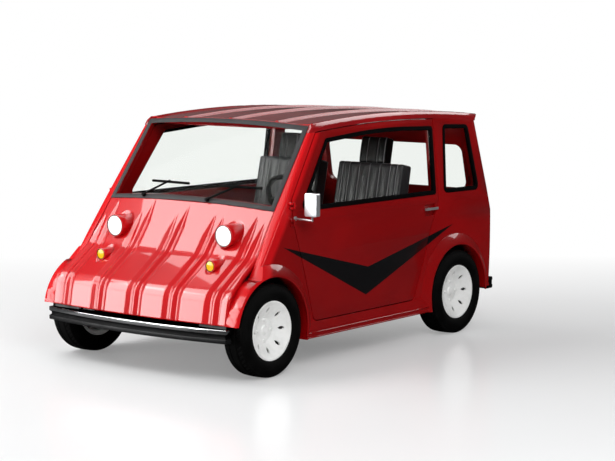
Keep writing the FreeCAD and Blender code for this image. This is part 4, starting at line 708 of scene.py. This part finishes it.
# Barrels with a rolled end, dark rings, and domed lenses whose depth falls off as the radius squared.
def makeLamps():
    barrels, rings, lenses = [], [], {"head": [], "blinker": []}
    turn = np.linspace(0.0, 2.0 * math.pi, lamps["ringSteps"], endpoint=False)
    for kind in lenses:
        lamp = lamps[kind]
        r = lamp["radius"]
        barrel = [(r + lamps["rim"], lamp["reach"]), *[(r + past, depth) for past, depth in lamps["lip"]],
                  (r - lamps["wall"], lamp["reach"])]
        ring = np.stack([r - lamps["ringIn"] + lamps["ringHalf"][0] * np.cos(turn),
                         lamps["ringDepth"] + lamps["ringHalf"][1] * np.sin(turn)], -1)
        edge, pole = r * lamps["lensShare"], r * lamps["pole"]
        lens = [(edge * share, lamps["lensFront"] - lamps["dome"] * (1.0 - share * share))
                for share in np.linspace(lamps["pole"], 1.0, lamps["lensSteps"])]
        lens += [(edge, lamps["lensBack"]), (pole, lamps["lensBack"])]
        for side in sides.values():
            origin = np.array([side * lamp["x"], lamp["y"], lamp["z"]])
            barrels.append(turned(barrel, origin))
            rings.append(turned(ring, origin))
            lenses[kind].append(turned(lens, origin))
    # The barrels take the front panel's red, painted lighter, as lit.
    joinedPiece("lampBarrels", barrels, "nose", ("lamp_housings",))
    joinedPiece("lampRings", rings, "doorSeal")
    joinedPiece("headlampLenses", lenses["head"], "lampWhite", ("lamp_lenses",))
    joinedPiece("indicatorLenses", lenses["blinker"], "lampYellow")


makeLamps()
print("lamps made")


# Tyres, and dark plates close behind the wheels' slots that paint shade into them

tyres = {
    "x": 0.580, "bead": (0.1284, 0.0476), "rim": (0.1454, 0.0526),  # radius, and from the middle plane
    "wallStart": 0.004, "wallEnd": 0.012, "wallX": 0.056, "wallSteps": 15,
    "bulge": 0.014, "bulgeRun": (0.10, 0.98), "bulgeCurve": 0.8,
    "shoulder": (0.010, 0.008), "shoulderStart": 0.15, "shoulderSteps": 5, "steps": 240,
    "treadHalf": 0.050, "treadEdge": 0.001, "treadSteps": 16, "crown": 0.002,
    "treadDepth": 0.005, "treadZone": 0.006, "ringX": 0.020, "ringHalf": 0.0035,
    "cuts": 60, "cutSlant": 26.0, "cutShare": 0.25, "cutFrom": 0.024,
    "lineStart": 0.150, "lineRun": 0.050, "lineEnd": 0.205, "lineCount": 6.0, "lineHeight": 0.0006,
}
plates = {"faceX": 0.638, "depth": 0.0595, "at": 0.060, "cone": 0.581, "radii": (0.064, 0.118),
          "sheet": 0.0012, "steps": 48}


# Half section from the inner bead to the tread's middle, as radius and distance from the middle plane.
def tyreProfile():
    outer = wheels["radius"]
    wallR = np.linspace(tyres["rim"][0] + tyres["wallStart"], outer - tyres["wallEnd"], tyres["wallSteps"])
    bulge = np.sin(math.pi * np.linspace(*tyres["bulgeRun"], tyres["wallSteps"])) ** tyres["bulgeCurve"]
    wallX = tyres["wallX"] + tyres["bulge"] * bulge
    turn = np.linspace(tyres["shoulderStart"], 1.0, tyres["shoulderSteps"]) * 0.5 * math.pi
    rise, inset = tyres["shoulder"]
    tread = np.linspace(tyres["treadHalf"] - tyres["treadEdge"], 0.0, tyres["treadSteps"])
    treadR = outer - tyres["crown"] * (tread / tyres["treadHalf"]) ** 2
    return (np.r_[tyres["bead"][0], tyres["rim"][0], wallR, wallR[-1] + rise * np.sin(turn), treadR],
            np.r_[tyres["bead"][1], tyres["rim"][1], wallX, wallX[-1] - inset * (1.0 - np.cos(turn)), tread])


# A closed section turned about a wheel's axle: x = side * across, y = axle + r cos a, z = height + r sin a.
def wheelPiece(name, end, side, r, across, angle, finish, nodes=()):
    wheel = "_%s_%s" % (end, side)
    points = np.stack([sides[side] * across, wheels["axles"][end] + r * np.cos(angle),
                       wheels["radius"] + r * np.sin(angle)], -1)
    faces = gridFaces(*across.shape, True, True)
    nodes = [node + wheel for node in nodes]
    outwards(newPiece(name + wheel, points, faces, finish, "wheel" + wheel, nodes))


# r(a, x) = the section less ring grooves and slanted cross cuts, with fine rings raised on the walls.
def makeTyre(end, side):
    radius, across = tyreProfile()
    radius, across = np.r_[radius, radius[-2::-1]], np.r_[across, -across[-2::-1]]
    angle = np.linspace(0.0, 2.0 * math.pi, tyres["steps"], endpoint=False)
    r, x = np.repeat(radius[:, None], len(angle), 1), np.repeat(across[:, None], len(angle), 1)
    onTread = (np.abs(x) < tyres["treadHalf"]) & (r > wheels["radius"] - tyres["treadZone"])
    rings = np.abs(np.abs(x) - tyres["ringX"]) < tyres["ringHalf"]
    phase = np.mod(angle * tyres["cuts"] / (2.0 * math.pi) + np.abs(x) * tyres["cutSlant"], 1.0)
    cuts = (phase < tyres["cutShare"]) & (np.abs(x) > tyres["cutFrom"])
    r = r - tyres["treadDepth"] * (onTread & (rings | cuts))
    share = np.clip((r - tyres["lineStart"]) / tyres["lineRun"], 0.0, 1.0)
    lines = tyres["lineHeight"] * np.sin(share * tyres["lineCount"] * math.pi) ** 2
    x = x + np.sign(x) * np.where(r < tyres["lineEnd"], lines, 0.0)
    wheelPiece("tyreSkin", end, side, r, tyres["x"] + sides[side] * x, angle, "tyre", ("tyre",))


# A dark shallow cone close behind the slots, which paints shade into them: depth = 59.5 mm, less 0.58 for
# each mm of radius past 60 mm.
def makePlate(end, side):
    inner, outer = plates["radii"]
    radius = np.array([inner, outer, outer, inner])
    depth = plates["depth"] - (radius - plates["at"]) * plates["cone"]
    depth += np.array([0.0, 0.0, plates["sheet"], plates["sheet"]])
    angle = np.linspace(0.0, 2.0 * math.pi, plates["steps"], endpoint=False)
    across = np.repeat((plates["faceX"] - depth)[:, None], len(angle), 1)
    wheelPiece("slotShadowPlate", end, side, radius[:, None], across, angle, "chassis")


for end in wheels["axles"]:
    for side in sides:
        makeTyre(end, side)
        makePlate(end, side)
print("tyres made")


# Seats

seats = {
    "x": 0.282, "half": 0.220, "cushion": (0.790, 1.225, 0.290, 0.410), "cushionSink": 0.002,
    "foot": (1.145, 0.414), "top": 0.931, "thick": 0.090, "lean": 12.0,
    "headWidth": 0.175, "headHeight": 0.146, "headThick": 0.070, "headSink": 0.009, "headBack": 0.008,
    "seams": (-0.180, -0.136, -0.068, 0.0, 0.068, 0.136, 0.180), "seamHighlights": (0.0, 0.068, 0.136, 0.180),
    "headSeams": (-0.034, 0.034), "headSeamHighlights": (0.034, 0.080),
    "step": 0.0055, "loopStep": 0.010, "edge": 0.013, "leastRound": 0.002, "pinch": 0.002, "crown": 0.004,
    "slack": 0.006, "headSlack": 0.004, "groove": 0.0050,
    "grooveBelow": 0.2, "grooveRun": 0.6, "heldBelow": -0.35,  # shares of half the thickness
    "frames": 20, "cap": 0.010, "fill": 0.6,
    "cloth": {"quality": 5, "mass": 0.3, "tension_stiffness": 12.0, "compression_stiffness": 12.0,
              "shear_stiffness": 4.0, "bending_stiffness": 6.0, "vertex_group_mass": "held",
              "pin_stiffness": 1.0, "use_pressure": True, "uniform_pressure_force": 9.0},
}
quarterTurns = np.array([22.5, 45.0, 67.5, 90.0])

finishes["hide"] = (leatherette("blackLeatherette", "#201e21", "#2c2a2d", seats["x"], seats["seamHighlights"]),
                    "seat_hide")
# The headrest's vinyl is a darker copy of the seats': painted shade.
finishes["shadedHeadHide"] = (leatherette("headrestLeatheretteShaded", "#080708", "#0e0d0e", seats["x"],
                                    seats["headSeamHighlights"], 0.0, 0.2), "seat_hide")


# A rounded oblong, a by b from its middle, with corners of radius r, anticlockwise from its lower edge.
def oblong(a, b, r, counts):
    around = []
    for (fromV, fromW), (toV, toW), count, start in (
            ((r - a, -b), (a - r, -b), counts[0], -90.0), ((a, r - b), (a, b - r), counts[1], 0.0),
            ((a - r, b), (r - a, b), counts[0], 90.0), ((-a, b - r), (-a, r - b), counts[1], 180.0)):
        run = np.linspace(0.0, 1.0, count)[:, None]
        around.append(np.array([[fromV, fromW]]) + run * np.array([[toV - fromV, toW - fromW]]))
        turn = np.radians(start + quarterTurns[:3])
        middle = np.array([math.copysign(a - r, toV), math.copysign(b - r, toW)])
        around.append(middle + r * np.stack([np.cos(turn), np.sin(turn)], -1))
    return np.concatenate(around)


# A closed pad, u across, v along and w through it: oblong loops at columns along u, drawn in at both ends and
# along the seams. Returns its points, its faces and where the cloth is held: seams, underside and ends.
def padGrid(width, length, thick, seams):
    edge, inner = seats["edge"], 0.5 * width - seats["edge"]
    stops = [-inner, *seams, inner]
    flat = [np.linspace(start, end, max(2, round((end - start) / seats["step"])), endpoint=False)
            for start, end in zip(stops, stops[1:])]
    flat = np.r_[np.concatenate(flat), inner]
    turn = np.radians(quarterTurns)
    # Columns of place, inset and share of the loop's size: flat stretch, round ends and their flat caps
    ends = np.stack([inner + edge * np.sin(turn), edge * (1.0 - np.cos(turn)), np.ones(4)], -1)
    caps = np.array([[0.5 * width, edge, share] for share in (0.75, 0.5, 0.25, 0.0)])
    right = np.concatenate([ends, caps])
    left = right[::-1] * np.array([-1.0, 1.0, 1.0])
    columns = np.concatenate([left, np.stack([flat, np.zeros_like(flat), np.ones_like(flat)], -1), right])
    seamed = np.zeros(len(columns), bool)
    seamed[len(left):-len(right)] = np.abs(flat[:, None] - np.array(seams)).min(1) < 1e-6
    pinned = seamed.copy()
    pinned[:len(left) - 1] = pinned[1 - len(right):] = True
    a, b = 0.5 * length, 0.5 * thick
    counts = (max(4, int(2.0 * (a - edge) / seats["loopStep"])),
              max(3, int(2.0 * (b - edge) / seats["loopStep"]) + 1))
    loops, held = [], []
    for (u, inset, share), seam, pin in zip(columns, seamed, pinned):
        loop = oblong(a - inset, b - inset, max(edge - inset, seats["leastRound"]), counts) * share
        if seam:
            upper = smoothStep((loop[:, 1] / b + seats["grooveBelow"]) / seats["grooveRun"])[:, None]
            size = np.array([[a, b]])
            away = loop / np.maximum(np.linalg.norm(loop / size, axis=1), 1e-9)[:, None] / size
            away = away / np.linalg.norm(away, axis=1)[:, None]
            loop = loop - upper * seats["groove"] * away
        loop[:, 1] -= seats["pinch"] * (abs(u) / (0.5 * width)) ** 4
        crown = seats["crown"] * (1.0 - (loop[:, 0] / a) ** 2) * (loop[:, 1] > 0.0)
        loop[:, 1] += crown * share
        loops.append(np.column_stack([np.full(len(loop), u), loop]))
        held.append(pin | (loop[:, 1] < seats["heldBelow"] * b))
    faces = gridFaces(len(columns), len(loops[0]), closeColumns=True)
    return np.concatenate(loops), faces, np.concatenate(held)


# The left seat's pads before their filling swells: name, finish, pad, centre, turn about X and nodes.
def seatPads():
    lean, slack = math.radians(seats["lean"]), seats["slack"]
    upright = 0.5 * math.pi - lean
    y0, y1, z0, z1 = seats["cushion"]
    footY, footZ = seats["foot"]
    width = 2.0 * seats["half"] - slack
    height = (seats["top"] - footZ) / math.cos(lean)
    headZ = seats["top"] - seats["headSink"] + 0.5 * seats["headHeight"]
    headY = footY + math.tan(lean) * (headZ - footZ) + seats["headBack"] + 0.5 * seats["headThick"]
    return [("seatCushionPad", "hide", padGrid(width, y1 - y0 - slack, z1 - z0 - slack, seats["seams"]),
             (seats["x"], 0.5 * (y0 + y1), 0.5 * (z0 + z1) - seats["cushionSink"]), 0.0, ("seat_cushions",)),
            ("seatBackPad", "hide", padGrid(width, height - slack, seats["thick"] - slack, seats["seams"]),
             (seats["x"], footY + 0.5 * seats["thick"] + 0.5 * height * math.sin(lean),
              0.5 * (seats["top"] + footZ)), upright, ("seat_backs",)),
            ("headrestPad", "shadedHeadHide", padGrid(seats["headWidth"], seats["headHeight"],
                                                seats["headThick"] - seats["headSlack"], seats["headSeams"]),
             (seats["x"], headY, headZ), upright, ())]


# Fills pads by cloth simulation: pressure swells the cover between held seams, and a cap limits each move.
def swell(pieces):
    for piece in pieces:
        cloth = piece.modifiers.new("filling", "CLOTH")
        for key, value in seats["cloth"].items():
            setattr(cloth.settings, key, value)
        cloth.settings.effector_weights.gravity = 0.0
        cloth.collision_settings.use_collision = False
        cloth.point_cache.frame_start = 1
        cloth.point_cache.frame_end = seats["frames"]
    for step in range(1, seats["frames"] + 1):
        scene.frame_set(step)
    depsgraph = bpy.context.evaluated_depsgraph_get()
    for piece in pieces:
        start, end = np.empty((2, len(piece.data.vertices) * 3))
        piece.data.vertices.foreach_get("co", start)
        piece.evaluated_get(depsgraph).data.vertices.foreach_get("co", end)
        move = (end - start).reshape(-1, 3)
        far = np.linalg.norm(move, axis=1)[:, None]
        move *= np.minimum(1.0, seats["cap"] / np.maximum(far, 1e-9))
        print(piece.name, "swells by", round(float(far.max()) * 1000.0, 1), "mm")
        piece.modifiers.clear()
        piece.data.vertices.foreach_set("co", start + move.ravel())
        piece.data.update()
    scene.frame_set(1)


# The left seat's pads, filled, and the right seat's as copies moved across.
def makeSeats():
    pieces = []
    for name, finish, (points, faces, held), centre, angle, nodes in seatPads():
        points = points @ np.array(Matrix.Rotation(angle, 3, "X")).T + np.array(centre)
        piece = newPiece(name + "_left", points, faces, finish, nodes=nodes)
        group = piece.vertex_groups.new(name="held")
        for share in (0.0, 1.0):
            group.add(np.flatnonzero(held == share).tolist(), share, "REPLACE")
        pieces.append((outwards(piece), finish))
    swell([piece for piece, finish in pieces])
    for piece, finish in pieces:
        piece.vertex_groups.clear()
        twin = bpy.data.objects.new(piece.name.replace("left", "right"), piece.data.copy())
        twin.data.transform(Matrix.Translation((-2.0 * seats["x"], 0.0, 0.0)))
        settle(twin, finish, "body", ())


makeSeats()
print("seats made")


# Studio

studio = {
    "camera": (6.24, -6.72, 1.761), "yaw": 38.7035, "pitch": 6.8401, "roll": -0.114, "lens": 108.516,
    "sensor": 36.0, "farthest": 200.0,
    "floor": "#efefef", "floorPatch": "#eaeaea", "floorHalf": 60.0,
    "fadeRun": (0.5, 4.0), "sightRun": (0.80, 0.95),  # metres behind the car, and share in line with the view
    "flag": 0.9,  # share of the floor beside the car that mirrored surfaces see as dark
    "lift": 0.22,  # more light on the floor than on the car, for the camera alone
    "sky": 0.42, "skyColour": "#f2f4f6", "dark": 0.02, "ceiling": 0.13, "ceilingZ": 0.14,
    "boxes": [  # name, centre, size, radiance, and the point that it faces, or its turn when it faces down
        ("keyBox", (-3.0, -2.4, 4.5), (3.7, 2.5), 5.2, 0.0),
        ("topBox", (-2.66, 1.06, 4.5), (2.6, 1.6), 3.0, -17.4),
        ("frontBox", (-3.4, -3.95, 0.95), (3.6, 1.5), 7.0, (0.0, -0.3, 0.4)),
        ("sideBox", (5.3, -2.6, 4.3), (3.0, 3.0), 7.4, (0.3, 0.8, 0.4)),
    ],
    "panels": [  # seen only in mirrored surfaces
        ("upperFrontBox", (-3.1, -3.6, 3.0), (3.6, 2.6), 7.0, (0.0, -0.25, 0.4)),
        ("backBox", (1.0, 4.8, 4.3), (3.6, 3.0), 4.2, (0.6, 0.9, 0.8)),
    ],
}


# The photograph's viewpoint, with its slight roll about the line of sight.
def makeCamera():
    data = bpy.data.cameras.new("camera")
    data.lens = studio["lens"]
    data.sensor_width = studio["sensor"]
    data.clip_end = studio["farthest"]
    camera = bpy.data.objects.new("camera", data)
    pose = Matrix.Translation(studio["camera"])
    for degrees, axis in ((studio["yaw"], "Z"), (90.0 - studio["pitch"], "X"), (studio["roll"], "Z")):
        pose @= Matrix.Rotation(math.radians(degrees), 4, axis)
    camera.matrix_world = pose
    scene.collection.objects.link(camera)
    scene.camera = camera


# A rectangular lamp of an even radiance: its power is the radiance times pi times its area.
def softbox(name, place, size, radiance, facing):
    data = bpy.data.lights.new(name, "AREA")
    data.shape = "RECTANGLE"
    data.size, data.size_y = size
    data.energy = radiance * math.pi * size[0] * size[1]
    lamp = bpy.data.objects.new(name, data)
    lamp.location = place
    if isinstance(facing, float):
        lamp.rotation_euler = (0.0, 0.0, math.radians(facing))
    else:
        lamp.rotation_mode = "QUATERNION"
        lamp.rotation_quaternion = (Vector(facing) - Vector(place)).to_track_quat("-Z", "Y")
    scene.collection.objects.link(lamp)
    return lamp


# How far a point or direction lies along the line of sight over the ground, carried from a run to 0..1.
def alongView(tree, vector, run):
    yaw = math.radians(studio["yaw"])
    ahead = (-math.sin(yaw), math.cos(yaw), 0.0)
    far = addNode(tree, "VectorMath", (vector, ahead), "Value", operation="DOT_PRODUCT")
    return addNode(tree, "MapRange", (far, *run))


# A pale floor that fades into the white backdrop behind the car. Mirrors see that only in the line of sight.
def makeFloor():
    half = studio["floorHalf"]
    mesh = bpy.data.meshes.new("floor")
    mesh.from_pydata([(-half, -half, 0.0), (half, -half, 0.0), (half, half, 0.0), (-half, half, 0.0)],
                     [], [(0, 1, 2, 3)])
    floor = bpy.data.objects.new("floor", mesh)
    scene.collection.objects.link(floor)
    material, tree, place = newMaterial("paleFloor")
    path = addNode(tree, "LightPath", (), None)
    colour = cloudy(tree, place, linear(studio["floor"]), linear(studio["floorPatch"]), 0.6, 3.0)[0]
    surface = addNode(tree, "BsdfPrincipled", {"Base Color": colour, "Roughness": 0.22, "IOR": 1.45,
                                               "Specular IOR Level": 0.25})
    lift = addNode(tree, "Math", (path["Is Camera Ray"], studio["lift"]), operation="MULTIPLY")
    surface = addNode(tree, "AddShader", (surface, addNode(tree, "Emission", (white, lift))))
    flag = addNode(tree, "Math", (path["Is Glossy Ray"], studio["flag"]), operation="MULTIPLY")
    dark = addNode(tree, "Emission", ((0.0, 0.0, 0.0, 1.0), 0.0))
    surface = addNode(tree, "MixShader", (flag, surface, dark))
    heading = addNode(tree, "VectorMath", (place,), operation="NORMALIZE")
    inSight = alongView(tree, heading, studio["sightRun"])
    mirrored = addNode(tree, "Math", (path["Is Glossy Ray"], inSight), operation="MULTIPLY")
    looked = addNode(tree, "Math", (path["Is Camera Ray"], path["Is Transmission Ray"]), operation="MAXIMUM")
    looked = addNode(tree, "Math", (looked, mirrored), operation="MAXIMUM")
    share = addNode(tree, "Math", (looked, alongView(tree, place, studio["fadeRun"])), operation="MULTIPLY")
    surface = addNode(tree, "MixShader", (share, surface, addNode(tree, "Emission", (white, 1.0))))
    mesh.materials.append(finished(material, tree, surface))


# White for the camera and through glass, and even light on matt surfaces. Mirrors see a dim backdrop that
# brightens upwards in the line of sight, and a dark room elsewhere.
def makeWorld():
    scene.world = bpy.data.worlds.new("studioWorld")
    scene.world.use_nodes = True
    tree = scene.world.node_tree
    tree.nodes.clear()
    path = addNode(tree, "LightPath", (), None)
    direction = addNode(tree, "TexCoord", (), "Generated")
    sky = addNode(tree, "Background", (linear(studio["skyColour"]), studio["sky"]))
    height = addNode(tree, "SeparateXYZ", (direction,), "Z")
    rising = addNode(tree, "MapRange", (height, 0.0, studio["ceilingZ"], studio["dark"], studio["ceiling"]))
    inSight = alongView(tree, direction, studio["sightRun"])
    backdrop = addNode(tree, "Math", (inSight, rising), operation="MULTIPLY")
    backdrop = addNode(tree, "Math", (backdrop, studio["dark"]), operation="MAXIMUM")
    mirrored = addNode(tree, "Background", (white, backdrop))
    lit = addNode(tree, "MixShader", (path["Is Glossy Ray"], sky, mirrored))
    seen = addNode(tree, "Math", (path["Is Camera Ray"], path["Is Transmission Ray"]), operation="MAXIMUM")
    both = addNode(tree, "MixShader", (seen, lit, addNode(tree, "Background", (white, 1.0))))
    addNode(tree, "OutputWorld", {"Surface": both}, None)


makeCamera()
makeFloor()
makeWorld()
for box in studio["boxes"]:
    softbox(*box)
for box in studio["panels"]:
    softbox(*box).visible_diffuse = False
scene.view_settings.view_transform = "Standard"
print("studio made")
